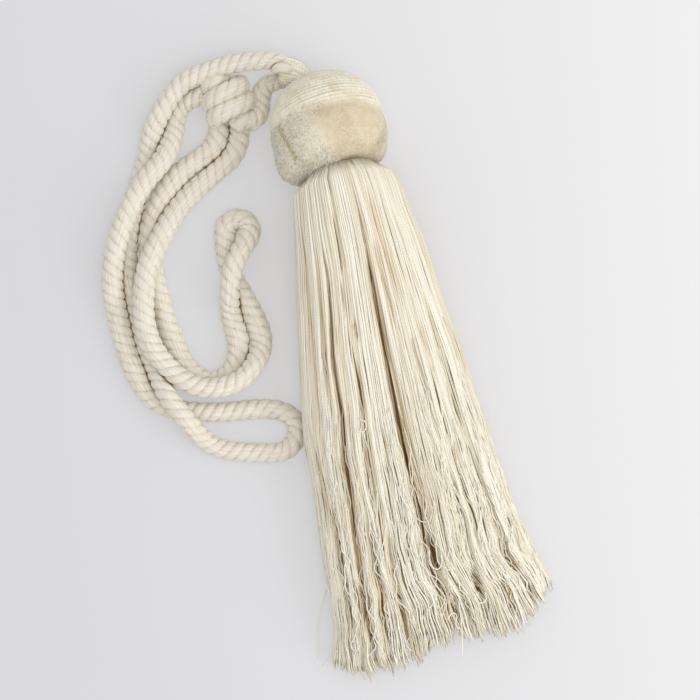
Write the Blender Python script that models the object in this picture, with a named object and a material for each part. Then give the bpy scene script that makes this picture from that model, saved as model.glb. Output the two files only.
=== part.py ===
"""Curtain tieback tassel, lying on a flat surface (metres, +Z up).

The tassel lies along Y: its rope loops reach towards +Y and -X, and its skirt points to -Y.
One piece of twisted cotton rope leaves the knot, lies in a long lower loop, passes back over
the knot, hooks through the loop on the tassel's neck and returns to the knot. A second
stretch leaves the knot as the shorter upper loop and comes back to it. The ball is covered
in cut pile, and the skirt is a thick bundle of long threads that has spread out where it
lies. The origin is under the middle of the tassel, on the surface.
"""
import math

import bmesh
import bpy
import numpy as np
from mathutils import Vector

# --- driving dimensions -------------------------------------------------------------------
GAP = 0.0003                 # between pieces that touch
SEAT_GAP = 0.00036           # round a rope in its seat, where its flats come closer
SIDES = 60                   # points round the skirt

ROPE_TUBE = 0.0108           # the twisted rope's plain tube, where its strands bed in
ROPE_REACH = 0.029           # longest straight step along a tube
ROPE_TURN = math.radians(42) # largest turn between two steps

HEAD_CENTRE = Vector((0.0, 0.1350, 0.0330))
HEAD_AXIS = Vector((-0.08, 0.93, -0.36))   # the ball has rolled back, its underside faces up
HEAD_RADIUS = 0.0335         # over the pile
HEAD_TOP = 0.0320            # from the widest ring to the top of the ball
HEAD_FOOT = 0.0280           # from the widest ring to its flatter underside
HEAD_TOP_POWER = 2.25        # 2 is a round outline, 4 nearly square
HEAD_FOOT_POWER = 3.2

NECK_CENTRE = Vector((-0.0131, 0.1719, 0.0179))
NECK_AIM = Vector((0.870, -0.494, 0.300))  # from the neck loop to the ball
NECK_LEAN = math.radians(47.0)             # how far the loop's top leans to one side
NECK_RADIUS = 0.0092         # middle of the cord in the neck loop
NECK_THICK = 0.0050

KNOT_CENTRE = Vector((-0.0522, 0.1634, 0.0143))
KNOT_AXIS = Vector((0.0855, -0.9963, 0.0))
KNOT_HALF = 0.0175           # half the length of the coiled turns
KNOT_RADIUS = 0.0148
KNOT_PITCH = 0.0090          # from one turn to the next
KNOT_GROOVE = 0.0013
KNOT_POWER = 3.2             # roundness of the knot's ends

# The skirt, in rows from its shoulder to its ends: distance down the tassel from
# SKIRT_FROM, left and right edges, height of its back, and height of its underside before
# the surface flattens it.
SKIRT_FROM = 0.1366
SKIRT_ROWS = (
    # down    left     right    crest    under
    (0.0327, -0.0200,  0.0240,  0.0570,  0.0170),
    (0.0337, -0.0248,  0.0288,  0.0592,  0.0120),
    (0.0352, -0.0270,  0.0308,  0.0603,  0.0090),
    (0.0380, -0.0283,  0.0320,  0.0608,  0.0065),
    (0.0415, -0.0294,  0.0330,  0.0610,  0.0045),
    (0.0460, -0.0303,  0.0342,  0.0610,  0.0032),
    (0.0580, -0.0325,  0.0355,  0.0595,  0.0010),
    (0.0740, -0.0358,  0.0385,  0.0570, -0.0020),
    (0.0900, -0.0393,  0.0403,  0.0545, -0.0050),
    (0.1170, -0.0440,  0.0425,  0.0505, -0.0075),
    (0.1450, -0.0490,  0.0462,  0.0470, -0.0095),
    (0.1750, -0.0540,  0.0490,  0.0440, -0.0105),
    (0.2050, -0.0556,  0.0515,  0.0415, -0.0110),
    (0.2400, -0.0582,  0.0552,  0.0390, -0.0110),
    (0.2650, -0.0600,  0.0600,  0.0365, -0.0110),
    (0.2850, -0.0620,  0.0668,  0.0335, -0.0110),
    (0.3000, -0.0655,  0.0682,  0.0300, -0.0100),
    (0.3100, -0.0680,  0.0682,  0.0260, -0.0090),
)
SKIRT_STEPS = 30             # sections along the skirt
SKIRT_LEAN = 0.387           # slope of the first sections, which follow the ball's underside
SKIRT_LEAN_END = 0.0500      # length over which the sections come upright
SKIRT_POWER = 2.35
SKIRT_TOOTH = 0.0015         # how uneven neighbouring thread ends are

# Where the threads end: across the tassel, and down it from SKIRT_FROM.
SKIRT_ENDS = (
    # across   down
    (-0.0680, 0.3030),
    (-0.0610, 0.3080),
    (-0.0490, 0.3135),
    (-0.0360, 0.3145),
    (-0.0260, 0.3160),
    (-0.0170, 0.3135),
    (-0.0080, 0.3100),
    (0.0050, 0.3070),
    (0.0190, 0.3115),
    (0.0320, 0.3105),
    (0.0410, 0.3095),
    (0.0510, 0.3055),
    (0.0610, 0.3015),
    (0.0682, 0.2970),
)

# The valleys between the main locks of threads. Each valley is a list of rows: distance
# down the tassel, place across it, half width and depth.
VALLEYS = {
    "left": (
        (0.060, -0.0180, 0.0030, 0.0000),
        (0.090, -0.0205, 0.0032, 0.0045),
        (0.131, -0.0277, 0.0034, 0.0070),
        (0.165, -0.0302, 0.0040, 0.0085),
        (0.205, -0.0369, 0.0040, 0.0080),
        (0.240, -0.0361, 0.0044, 0.0085),
        (0.275, -0.0430, 0.0048, 0.0090),
        (0.310, -0.0440, 0.0050, 0.0060),
    ),
    "middle": (
        (0.034, 0.0050, 0.0030, 0.0000),
        (0.068, 0.0063, 0.0030, 0.0050),
        (0.103, 0.0050, 0.0036, 0.0085),
        (0.136, 0.0040, 0.0046, 0.0110),
        (0.170, 0.0048, 0.0058, 0.0130),
        (0.200, 0.0050, 0.0062, 0.0135),
        (0.235, 0.0070, 0.0068, 0.0130),
        (0.262, 0.0078, 0.0064, 0.0105),
        (0.285, 0.0080, 0.0046, 0.0070),
        (0.312, 0.0100, 0.0040, 0.0050),
    ),
    "right": (
        (0.085, 0.0290, 0.0030, 0.0000),
        (0.110, 0.0318, 0.0032, 0.0045),
        (0.149, 0.0350, 0.0034, 0.0065),
        (0.209, 0.0395, 0.0038, 0.0075),
        (0.237, 0.0430, 0.0042, 0.0080),
        (0.261, 0.0440, 0.0044, 0.0080),
        (0.290, 0.0545, 0.0042, 0.0070),
        (0.310, 0.0580, 0.0040, 0.0050),
    ),
}

# Routes of the rope's middle line. It lies half its thickness above the surface, and a
# whole thickness higher where it crosses itself.
LOWER_LOOP = (
    # x        y        z
    (-0.0696, 0.1705, 0.0120), (-0.0739, 0.1700, 0.0095), (-0.0785, 0.1684, 0.0071),
    (-0.0835, 0.1640, 0.0060),
    (-0.0875, 0.1555, 0.0060), (-0.0915, 0.1470, 0.0100), (-0.1005, 0.1365, 0.0170),
    (-0.1100, 0.1295, 0.0182), (-0.1220, 0.1170, 0.0182), (-0.1330, 0.1005, 0.0172),
    (-0.1395, 0.0865, 0.0148), (-0.1430, 0.0730, 0.0117), (-0.1440, 0.0605, 0.0078),
    (-0.1440, 0.0460, 0.0058), (-0.1415, 0.0225, 0.0058), (-0.1340, 0.0035, 0.0058),
    (-0.1205, -0.0050, 0.0058), (-0.0970, -0.0115, 0.0058), (-0.0740, -0.0150, 0.0058),
    (-0.0620, -0.0200, 0.0058), (-0.0570, -0.0270, 0.0058), (-0.0590, -0.0360, 0.0058),
    (-0.0665, -0.0415, 0.0058), (-0.0780, -0.0405, 0.0058), (-0.0990, -0.0340, 0.0058),
    (-0.1095, -0.0265, 0.0082), (-0.1165, -0.0150, 0.0155), (-0.1225, -0.0030, 0.0181),
    (-0.1270, 0.0095, 0.0145), (-0.1290, 0.0220, 0.0075),
)
HANGER = (
    (-0.1310, 0.0365, 0.0058), (-0.1315, 0.0550, 0.0058), (-0.1325, 0.0725, 0.0058),
    (-0.1315, 0.0885, 0.0058), (-0.1270, 0.1040, 0.0058), (-0.1155, 0.1270, 0.0058),
    (-0.1065, 0.1435, 0.0059), (-0.1020, 0.1530, 0.0087), (-0.0975, 0.1605, 0.0125),
    (-0.0910, 0.1675, 0.0158), (-0.0840, 0.1745, 0.0173), (-0.0745, 0.1805, 0.0185),
    (-0.0625, 0.1830, 0.0200), (-0.0495, 0.1838, 0.0216), (-0.0390, 0.1835, 0.0230),
    (-0.0307, 0.1822, 0.0238), (-0.0249, 0.1811, 0.0241), (-0.0199, 0.1796, 0.0238),
    (-0.0152, 0.1770, 0.0224), (-0.0130, 0.1725, 0.0185), (-0.0158, 0.1690, 0.0140),
    (-0.0212, 0.1687, 0.0108), (-0.0272, 0.1686, 0.0100), (-0.0316, 0.1658, 0.0102),
    (-0.0342, 0.1604, 0.0110), (-0.0360, 0.1549, 0.0125), (-0.0390, 0.1507, 0.0155),
    (-0.0434, 0.1489, 0.0185),
)
UPPER_LOOP_OUT = (
    (-0.0497, 0.1486, 0.0078), (-0.0530, 0.1390, 0.0062), (-0.0595, 0.1315, 0.0058),
    (-0.0755, 0.1225, 0.0058), (-0.0905, 0.1135, 0.0070), (-0.0990, 0.1065, 0.0105),
    (-0.1060, 0.0990, 0.0142), (-0.1125, 0.0910, 0.0170), (-0.1195, 0.0810, 0.0181),
    (-0.1265, 0.0635, 0.0181), (-0.1290, 0.0400, 0.0181), (-0.1230, 0.0235, 0.0181),
    (-0.1110, 0.0085, 0.0181), (-0.0960, 0.0030, 0.0181), (-0.0825, 0.0045, 0.0181),
    (-0.0735, 0.0105, 0.0145), (-0.0675, 0.0185, 0.0080), (-0.0655, 0.0270, 0.0058),
    (-0.0674, 0.0420, 0.0058), (-0.0710, 0.0562, 0.0058), (-0.0736, 0.0642, 0.0058),
    (-0.0747, 0.0716, 0.0058), (-0.0743, 0.0786, 0.0058), (-0.0729, 0.0855, 0.0058),
    (-0.0715, 0.0914, 0.0058), (-0.0675, 0.0953, 0.0058), (-0.0628, 0.0956, 0.0060),
    (-0.0590, 0.0931, 0.0068),
)
UPPER_LOOP_BACK = (
    (-0.0577, 0.0883, 0.0088), (-0.0606, 0.0826, 0.0124), (-0.0655, 0.0773, 0.0158),
    (-0.0705, 0.0709, 0.0177), (-0.0749, 0.0622, 0.0177), (-0.0777, 0.0532, 0.0150),
    (-0.0795, 0.0430, 0.0073), (-0.0790, 0.0275, 0.0058),
    (-0.0815, 0.0180, 0.0058), (-0.0870, 0.0110, 0.0058), (-0.0970, 0.0075, 0.0058),
    (-0.1065, 0.0125, 0.0058), (-0.1125, 0.0225, 0.0058), (-0.1160, 0.0370, 0.0058),
    (-0.1175, 0.0570, 0.0058), (-0.1180, 0.0750, 0.0058), (-0.1170, 0.0910, 0.0058),
    (-0.1145, 0.1010, 0.0058), (-0.1055, 0.1155, 0.0058), (-0.0890, 0.1300, 0.0058),
    (-0.0720, 0.1375, 0.0062), (-0.0655, 0.1425, 0.0070), (-0.0612, 0.1510, 0.0078),
)


# --- helpers ------------------------------------------------------------------------------
def clear_scene():
    """Remove every object of the open scene."""
    for item in list(bpy.data.objects):
        bpy.data.objects.remove(item, do_unlink=True)


def plain_material(name, colour, roughness):
    """A Principled material with one colour and no metal."""
    material = bpy.data.materials.new(name)
    material.use_nodes = True
    shader = material.node_tree.nodes["Principled BSDF"]
    shader.inputs["Base Color"].default_value = (*colour, 1.0)
    shader.inputs["Roughness"].default_value = roughness
    shader.inputs["Metallic"].default_value = 0.0
    return material


def add_object(name, data, material):
    """Link new data to the scene as an object with its material."""
    item = bpy.data.objects.new(name, data)
    bpy.context.scene.collection.objects.link(item)
    data.materials.append(material)
    return item


def skin_rings(rings):
    """A closed mesh over rings of points, with a fan at each end. The points of a ring run
    anticlockwise as seen from the next ring's side, so the faces point out."""
    mesh_data = bmesh.new()
    loops = [[mesh_data.verts.new(point) for point in ring] for ring in rings]
    count = len(loops[0])
    for near, far in zip(loops[:-1], loops[1:]):
        for j in range(count):
            k = (j + 1) % count
            mesh_data.faces.new((near[j], near[k], far[k], far[j]))
    for loop in (loops[0][::-1], loops[-1]):
        hub = mesh_data.verts.new(sum((vert.co for vert in loop), Vector()) / count)
        for j in range(count):
            mesh_data.faces.new((loop[j], loop[(j + 1) % count], hub))
    bmesh.ops.triangulate(mesh_data, faces=mesh_data.faces[:])
    mesh = bpy.data.meshes.new("skin")
    mesh_data.to_mesh(mesh)
    mesh_data.free()
    return mesh


def signed_power(value, power):
    """value to a power, keeping its sign: bends a circle into a squarer outline."""
    return np.sign(value) * np.abs(value) ** power


def smooth_curve(route, fine=24):
    """Points on the natural cubic spline through a route, the parameter growing with the
    square root of each chord."""
    points = np.array(route)
    count = len(points)
    chords = np.sqrt(np.linalg.norm(np.diff(points, axis=0), axis=1))
    slope = np.diff(points, axis=0) / chords[:, None]
    system = np.eye(count)
    bend = np.zeros((count, 3))
    for i in range(1, count - 1):
        system[i, i - 1:i + 2] = chords[i - 1], 2 * (chords[i - 1] + chords[i]), chords[i]
        bend[i] = 6 * (slope[i] - slope[i - 1])
    bend = np.linalg.solve(system, bend)
    pieces = []
    for i, h in enumerate(chords):
        u = np.linspace(0, h, fine, endpoint=False)[:, None]
        start = bend[i] * (h - u) ** 3 / (6 * h) + (points[i] / h - bend[i] * h / 6) * (h - u)
        end = bend[i + 1] * u ** 3 / (6 * h) + (points[i + 1] / h - bend[i + 1] * h / 6) * u
        pieces.append(start + end)
    return np.concatenate(pieces + [points[-1:]])


def read_steps(curve):
    """Fewer points along a curve: close together in its bends, far apart where it is
    straight."""
    chords = np.diff(curve, axis=0)
    lengths = np.linalg.norm(chords, axis=1)
    heads = chords / lengths[:, None]
    cosines = np.clip(np.sum(heads[1:] * heads[:-1], axis=1), -1, 1)
    turns = np.concatenate(([0.0], np.arccos(cosines)))
    effort = np.concatenate(([0.0], np.cumsum(lengths / ROPE_REACH + turns / ROPE_TURN)))
    wanted = np.linspace(0, effort[-1], math.ceil(effort[-1]) + 1)
    return np.stack([np.interp(wanted, effort, curve[:, k]) for k in range(3)], axis=1)


def rope_data(name, steps, thick):
    """A round tube along straight steps, with filled ends."""
    data = bpy.data.curves.new(name, "CURVE")
    data.dimensions = "3D"
    data.bevel_depth = thick / 2
    data.bevel_resolution = 2
    data.render_resolution_u = 0
    data.use_fill_caps = True
    line = data.splines.new("POLY")
    line.points.add(len(steps) - 1)
    for point, place in zip(line.points, steps):
        point.co = (*place, 1.0)
    return data


def add_cutter(name, data):
    """An object that only cuts others."""
    item = bpy.data.objects.new(name, data)
    bpy.context.scene.collection.objects.link(item)
    item.hide_render = True
    item.display_type = "WIRE"
    return item


def cut_by(item, cutter):
    """Take a cutter's space out of an object."""
    cut = item.modifiers.new(cutter.name, "BOOLEAN")
    cut.operation = "DIFFERENCE"
    cut.solver = "EXACT"
    cut.object = cutter


def seat_mesh(name, steps):
    """A mesh of the tube with a gap all round it and past its two ends, for cutting."""
    first = steps[0] + (steps[0] - steps[1]) / np.linalg.norm(steps[0] - steps[1]) * GAP
    last = steps[-1] + (steps[-1] - steps[-2]) / np.linalg.norm(steps[-1] - steps[-2]) * GAP
    longer = np.vstack((first, steps[1:-1], last))
    guide = bpy.data.objects.new(name + "_guide",
                                 rope_data(name, longer, ROPE_TUBE + 2 * SEAT_GAP))
    bpy.context.scene.collection.objects.link(guide)
    mesh = bpy.data.meshes.new_from_object(guide.evaluated_get(
        bpy.context.evaluated_depsgraph_get()))
    bpy.data.objects.remove(guide, do_unlink=True)
    return mesh


# --- sub-parts ----------------------------------------------------------------------------
def head_rings(grow=0.0, sides=32, steps=16):
    """The ball as rings from its top to its underside: a round outline above its widest
    ring and a squarer one below it, flattened where it meets the surface."""
    axis = HEAD_AXIS.normalized()
    side = axis.cross(Vector((0, 0, 1))).normalized()
    upward = side.cross(axis)
    angles = np.linspace(0, 2 * np.pi, sides, endpoint=False)
    rings = []
    for latitude in np.linspace(np.pi / 2, -np.pi / 2, steps + 1)[1:-1]:
        power = HEAD_TOP_POWER if latitude > 0 else HEAD_FOOT_POWER
        reach = (HEAD_TOP if latitude > 0 else HEAD_FOOT) + grow
        along = reach * signed_power(np.sin(latitude), 2 / power)
        radius = (HEAD_RADIUS + grow) * np.cos(latitude) ** (2 / power)
        ring = (np.array(HEAD_CENTRE + axis * along)
                + np.outer(radius * np.cos(angles), side)
                + np.outer(radius * np.sin(angles), upward))
        ring[:, 2] = np.maximum(ring[:, 2], -grow)
        rings.append(ring)
    return rings


def make_head():
    """The ball of the tassel, over its pile."""
    return add_object("head", skin_rings(head_rings()),
                      plain_material("cut_pile", (0.72, 0.64, 0.47), 0.9))


def make_neck_loop():
    """The short loop of thread-covered cord on top of the ball, a leaning ring round the
    rope, open where the ball closes it."""
    sides, steps = 10, 30
    across = NECK_AIM.normalized()
    level = Vector((0, 0, 1)).cross(across).normalized()
    upward = across.cross(level) * math.cos(NECK_LEAN) - level * math.sin(NECK_LEAN)
    side = upward.cross(across)
    rings = []
    for turn in np.linspace(0, 2 * np.pi, steps, endpoint=False):
        outward = across * math.cos(turn) + upward * math.sin(turn)
        middle = NECK_CENTRE + outward * NECK_RADIUS
        rings.append([middle + (outward * math.cos(a) + side * math.sin(a)) * NECK_THICK / 2
                      for a in np.linspace(0, 2 * np.pi, sides, endpoint=False)])
    ring_data = bmesh.new()
    loops = [[ring_data.verts.new(point) for point in ring] for ring in rings]
    for i in range(steps):
        near, far = loops[i], loops[(i + 1) % steps]
        for j in range(sides):
            k = (j + 1) % sides
            ring_data.faces.new((near[j], near[k], far[k], far[j]))
    mesh = bpy.data.meshes.new("neck_loop")
    ring_data.to_mesh(mesh)
    ring_data.free()
    loop = add_object("neck_loop", mesh,
                      plain_material("thread_wrap", (0.76, 0.68, 0.52), 0.7))
    cut_by(loop, add_cutter("head_space", skin_rings(head_rings(grow=GAP))))
    return loop


def skirt_section(share, angles):
    """One section of the skirt, at a share of the threads' length from shoulder to ends."""
    rows = np.array(SKIRT_ROWS)
    first, last = rows[0, 0], rows[-1, 0]
    down = first + share * (last - first)
    left, right, crest, under = (np.interp(down, rows[:, 0], rows[:, k])
                                 for k in range(1, 5))
    across = (left + right) / 2 + (right - left) / 2 * signed_power(
        np.cos(angles), 2 / SKIRT_POWER)
    height = (crest + under) / 2 + (crest - under) / 2 * signed_power(
        np.sin(angles), 2 / SKIRT_POWER)
    upper = np.clip((height - under) / (crest - under) * 2 - 1, 0, 1)
    for rows_of_valley in VALLEYS.values():
        valley = np.array(rows_of_valley)
        middle, width, depth = (np.interp(down, valley[:, 0], valley[:, k])
                                for k in range(1, 4))
        reach = np.interp(down, (valley[0, 0], valley[1, 0]), (0.0, 1.0))
        height = height - reach * upper * depth * np.exp(-((across - middle) / width) ** 2)
    ends = np.array(SKIRT_ENDS)
    tooth = SKIRT_TOOTH * share * np.where(np.arange(len(angles)) % 2, 1.0, -1.0)
    length = np.interp(across, ends[:, 0], ends[:, 1]) - first
    lean = SKIRT_LEAN * max(0.0, 1 - (down - first) / SKIRT_LEAN_END) ** 2
    place = SKIRT_FROM - first - share * length + tooth + lean * (height - HEAD_CENTRE.z)
    return np.stack((across, place, np.maximum(height, 0.0)), axis=1)


def make_skirt():
    """The skirt of long threads as one solid: its spread, valleys and uneven end."""
    angles = np.linspace(0, 2 * np.pi, SIDES, endpoint=False)
    shoulder = [0.0, 0.004, 0.014, 0.03]
    shares = shoulder + list(np.linspace(0.05, 1.0, SKIRT_STEPS))
    rings = [skirt_section(share, angles) for share in shares]
    return add_object("skirt", skin_rings(rings),
                      plain_material("rayon_yarn", (0.80, 0.72, 0.55), 0.6))


def make_knot(routes):
    """The rope's knot as one solid: a few turns side by side round a level axis, with
    seats for the ropes that enter and pass it."""
    axis = KNOT_AXIS.normalized()
    side = Vector((0, 0, 1)).cross(axis)
    sides, steps = 36, 28
    angles = np.linspace(0, 2 * np.pi, sides, endpoint=False)
    rings = []
    for latitude in np.linspace(-np.pi / 2, np.pi / 2, steps + 1)[1:-1]:
        along = KNOT_HALF * signed_power(np.sin(latitude), 2 / KNOT_POWER)
        envelope = KNOT_RADIUS * np.cos(latitude) ** (2 / KNOT_POWER)
        phase = np.pi * (along / KNOT_PITCH - angles / (2 * np.pi))
        radius = envelope - KNOT_GROOVE * (1 - np.abs(np.sin(phase))) * np.cos(latitude)
        ring = [KNOT_CENTRE + axis * along + (side * math.cos(a) + Vector((0, 0, 1))
                * math.sin(a)) * r for a, r in zip(angles, radius)]
        rings.append([Vector((p.x, p.y, max(p.z, 0.0))) for p in ring])
    knot = add_object("knot", skin_rings(rings),
                      plain_material("rope_knot", (0.76, 0.70, 0.57), 0.9))
    for name, steps_of_rope in routes.items():
        cut_by(knot, add_cutter("seat_" + name, seat_mesh(name, steps_of_rope)))
    return knot


def make_rope(name, steps):
    """One stretch of rope as a plain tube."""
    return add_object(name, rope_data(name, steps, ROPE_TUBE),
                      plain_material(name + "_cotton", (0.76, 0.70, 0.57), 0.9))


def main():
    clear_scene()
    routes = {
        "rope_long": read_steps(smooth_curve(LOWER_LOOP + HANGER)),
        "rope_short": read_steps(smooth_curve(UPPER_LOOP_OUT + UPPER_LOOP_BACK)),
    }
    make_head()
    make_neck_loop()
    make_skirt()
    make_knot(routes)
    for name, steps in routes.items():
        make_rope(name, steps)
        print(name, "tube points:", len(steps))


main()
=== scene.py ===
# %% [markdown]
# # Curtain tieback tassel
#
# A tieback is a length of soft cotton rope that goes round a curtain and hooks on the wall.
# This one carries a large key tassel: a ball covered in cut pile, and below it a thick
# skirt of long threads. The rope is tied in a coiled knot and hangs the tassel by a small
# loop on its neck. It lies on a table, so the skirt has spread and parted into locks.
#
# The solids that came with the frame already say where everything lies. They are plain, so
# each one is replaced here by a piece with the real surface: strands, pile and threads.

# %% Load the fixed frame
import math

import bpy
import numpy as np
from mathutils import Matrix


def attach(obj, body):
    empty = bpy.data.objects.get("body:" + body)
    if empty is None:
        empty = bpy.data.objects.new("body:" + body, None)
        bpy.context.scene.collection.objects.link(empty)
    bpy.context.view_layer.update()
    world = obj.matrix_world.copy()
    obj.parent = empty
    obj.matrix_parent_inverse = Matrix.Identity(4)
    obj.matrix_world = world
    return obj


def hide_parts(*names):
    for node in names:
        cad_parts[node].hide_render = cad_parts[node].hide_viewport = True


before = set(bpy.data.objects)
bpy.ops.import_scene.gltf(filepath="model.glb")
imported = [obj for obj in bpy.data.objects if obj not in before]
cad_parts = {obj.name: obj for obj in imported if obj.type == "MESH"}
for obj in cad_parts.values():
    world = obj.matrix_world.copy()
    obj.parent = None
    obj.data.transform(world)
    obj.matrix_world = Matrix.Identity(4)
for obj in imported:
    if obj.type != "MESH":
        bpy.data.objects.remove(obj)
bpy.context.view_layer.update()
print("frame nodes:", sorted(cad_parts))

# %% [markdown]
# ## Camera
#
# The view is straight down, as when you stand over a table. A long lens from far away keeps
# the ball, which is higher than the rope, at the same scale as the rope. The camera is
# turned a little about the vertical, so that the tassel leans in the picture.

# %% Camera
VIEW_CENTRE = (-0.0166, 0.0069, 0.02)     # middle of the view, at the height that is in scale
VIEW_WIDTH = 0.406
VIEW_HEIGHT = 2.5
VIEW_TURN = math.radians(-13.1)
SENSOR_MM = 36.0

camera_data = bpy.data.cameras.new("camera")
camera_data.sensor_width = SENSOR_MM
camera_data.lens = SENSOR_MM * VIEW_HEIGHT / VIEW_WIDTH
camera_data.clip_end = 20.0
camera = bpy.data.objects.new("camera", camera_data)
camera.location = (VIEW_CENTRE[0], VIEW_CENTRE[1], VIEW_CENTRE[2] + VIEW_HEIGHT)
camera.rotation_euler = (0.0, 0.0, VIEW_TURN)
bpy.context.scene.collection.objects.link(camera)
bpy.context.scene.camera = camera
print("lens, mm:", round(camera_data.lens, 1))

# %% [markdown]
# ## Helpers for colours and materials
#
# A hex colour is what the eye sees on a screen. Blender's nodes want linear light, so one
# function turns the one into the other. A material is written as a table with a row for
# each node: its name, its kind, and its settings and inputs. An input is a value, or the
# name of another node and its output with a dot between them, which is then linked.

# %% Colour and material helpers
BLEND = {"data_type": "RGBA"}                 # what every Mix node of colours has
MULTIPLY = {**BLEND, "blend_type": "MULTIPLY", "Factor": 1.0}


def linear(code):
    """An sRGB hex colour as linear red, green, blue and alpha."""
    values = [int(code[start:start + 2], 16) / 255 for start in (0, 2, 4)]
    return (*(value / 12.92 if value <= 0.04045 else ((value + 0.055) / 1.055) ** 2.4
              for value in values), 1.0)


def fill(tree, node, facts):
    """Gives a node its facts in turn. A colour ramp's stops are places and hex colours. Any
    other fact is an input, if the node has one of that name, or else a setting, and a text
    such as "noise.Fac" in an input links it to that output."""
    for key, value in facts.items():
        if key == "stops":
            for _ in value[2:]:
                node.color_ramp.elements.new(0.5)
            for element, (place, code) in zip(node.color_ramp.elements, value):
                element.position, element.color = place, linear(code)
        elif key not in node.inputs:
            setattr(node, key, value)
        elif isinstance(value, str):
            source, output = value.split(".")
            tree.links.new(tree.nodes[source].outputs[output], node.inputs[key])
        else:
            node.inputs[key].default_value = value


def add_node(tree, name, kind, facts=()):
    """One node with its settings, values and links."""
    node = tree.nodes.new("ShaderNode" + kind)
    node.name = name
    fill(tree, node, dict(facts))


def build_material(name, reads, rows, sockets):
    """A Principled material: a node for each number that it reads from the mesh's points,
    the nodes in rows, then the shader's own sockets. All fibres here share a plain gloss
    and a sheen of middling softness."""
    made = bpy.data.materials.new(name)
    made.use_nodes = True
    for key in reads:
        add_node(made.node_tree, key, "Attribute", {"attribute_name": key})
    for row in rows:
        add_node(made.node_tree, *row)
    shader = made.node_tree.nodes["Principled BSDF"]
    fill(made.node_tree, shader, {"IOR": 1.5, "Sheen Roughness": 0.5, **sockets})
    return made


# %% [markdown]
# ## Helpers for meshes
#
# All pieces but the pile are tubes: a ring of points carried along a line, closed at both
# ends. So one function turns whole arrays of points and faces into a mesh, and another
# works out the faces of many tubes at once.

# %% Mesh helpers
MM = 1000.0


def put_mesh(name, points, faces, made, extra=(), values=(), uv=None):
    """A mesh object from an array of points and an array of four-cornered faces, with more
    faces of other sizes in extra, named numbers for the points in values, and a UV place
    for each corner of the four-cornered faces."""
    groups = [faces, *extra]
    sizes = np.concatenate([np.full(len(group), group.shape[1]) for group in groups])
    corners = np.concatenate([group.ravel() for group in groups])
    mesh = bpy.data.meshes.new(name)
    mesh.vertices.add(len(points))
    mesh.vertices.foreach_set("co", points.astype(np.float32).ravel())
    mesh.loops.add(len(corners))
    mesh.polygons.add(len(sizes))
    mesh.polygons.foreach_set("loop_start", np.cumsum(sizes) - sizes)
    mesh.polygons.foreach_set("vertices", corners)
    mesh.update(calc_edges=True)
    mesh.shade_smooth()
    for key, numbers in dict(values).items():
        attribute = mesh.attributes.new(key, "FLOAT", "POINT")
        attribute.data.foreach_set("value", numbers.astype(np.float32).ravel())
    if uv is not None:
        places = np.zeros((len(corners), 2), np.float32)
        places[:faces.size] = uv.reshape(-1, 2)
        mesh.uv_layers.new(name="lay").data.foreach_set("uv", places.ravel())
    mesh.materials.append(made)
    item = bpy.data.objects.new(name, mesh)
    bpy.context.scene.collection.objects.link(item)
    print(f"{name}: {np.sum(sizes - 2)} triangles")
    return item


def put_tubes(name, points, made, values, uv=None):
    """Tubes from an array of points, tubes by stations by sides: faces round and along each
    tube, and a cap at both ends. The two arrays in uv have one side more, because at the
    seam the last side has a place of its own."""
    tubes, stations, sides, _ = points.shape
    k, i, j = (part.reshape(-1, 1) for part in np.meshgrid(
        np.arange(tubes), np.arange(stations - 1), np.arange(sides), indexing="ij"))
    station = np.hstack((i, i, i + 1, i + 1))
    side = np.hstack((j, j + 1, j + 1, j))
    faces = (k * stations + station) * sides + side % sides
    first = np.arange(tubes)[:, None] * stations * sides + np.arange(sides)
    if uv is not None:
        uv = np.stack([np.broadcast_to(part, (tubes, stations, sides + 1))[k, station, side]
                       for part in uv], axis=-1)
    return put_mesh(name, points.reshape(-1, 3), faces, made, values=values, uv=uv,
                    extra=(first[:, ::-1], first + (stations - 1) * sides))


def stands_for(node, slot, *pieces):
    """Fixes pieces to the part's one body in place of a plain solid of the frame, and hides
    that solid. slot is not used."""
    for piece in pieces:
        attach(piece, "root")
        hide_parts(node)


# %% Number helpers
TABLE_GAP = 0.0002            # how far above the table a piece that lies on it begins
TURN = 2 * np.pi
rng = np.random.default_rng(41)


def wave(turns):
    """A sine wave that swings from -1 to 1 once in each turn."""
    return np.sin(TURN * turns)


def round_turn(count):
    """Angles at even steps round a full turn."""
    return np.linspace(0, TURN, count, endpoint=False)


def unit(vectors):
    """Vectors of length one."""
    return vectors / np.linalg.norm(vectors, axis=-1, keepdims=True)


def grows(value, start, end):
    """0 up to start, 1 from end, and a straight line between them."""
    return np.clip((value - start) / (end - start), 0, 1)


def signed_power(value, power):
    """value to a power, keeping its sign: bends a circle into a squarer outline."""
    return np.sign(value) * np.abs(value) ** power


def ripples(terms, across_scale, down_scale):
    """A smooth random field of about -1 to 1, as a function of two coordinates: the sum of
    plane waves of random slopes and starts."""
    slopes = rng.normal(0, 1, (2, terms))
    starts = rng.uniform(0, TURN, terms)

    def field(across, down):
        total = sum(np.sin(TURN * (a * across / across_scale + b * down / down_scale) + start)
                    for a, b, start in zip(*slopes, starts))
        return total / math.sqrt(terms * 2)

    return field


# %% [markdown]
# ## Table top and light
#
# The tassel lies on a plain pale table. The light is soft: one wide source overhead and two
# on the right, in a bright room, so the shadows are faint and fall to the left.

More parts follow.
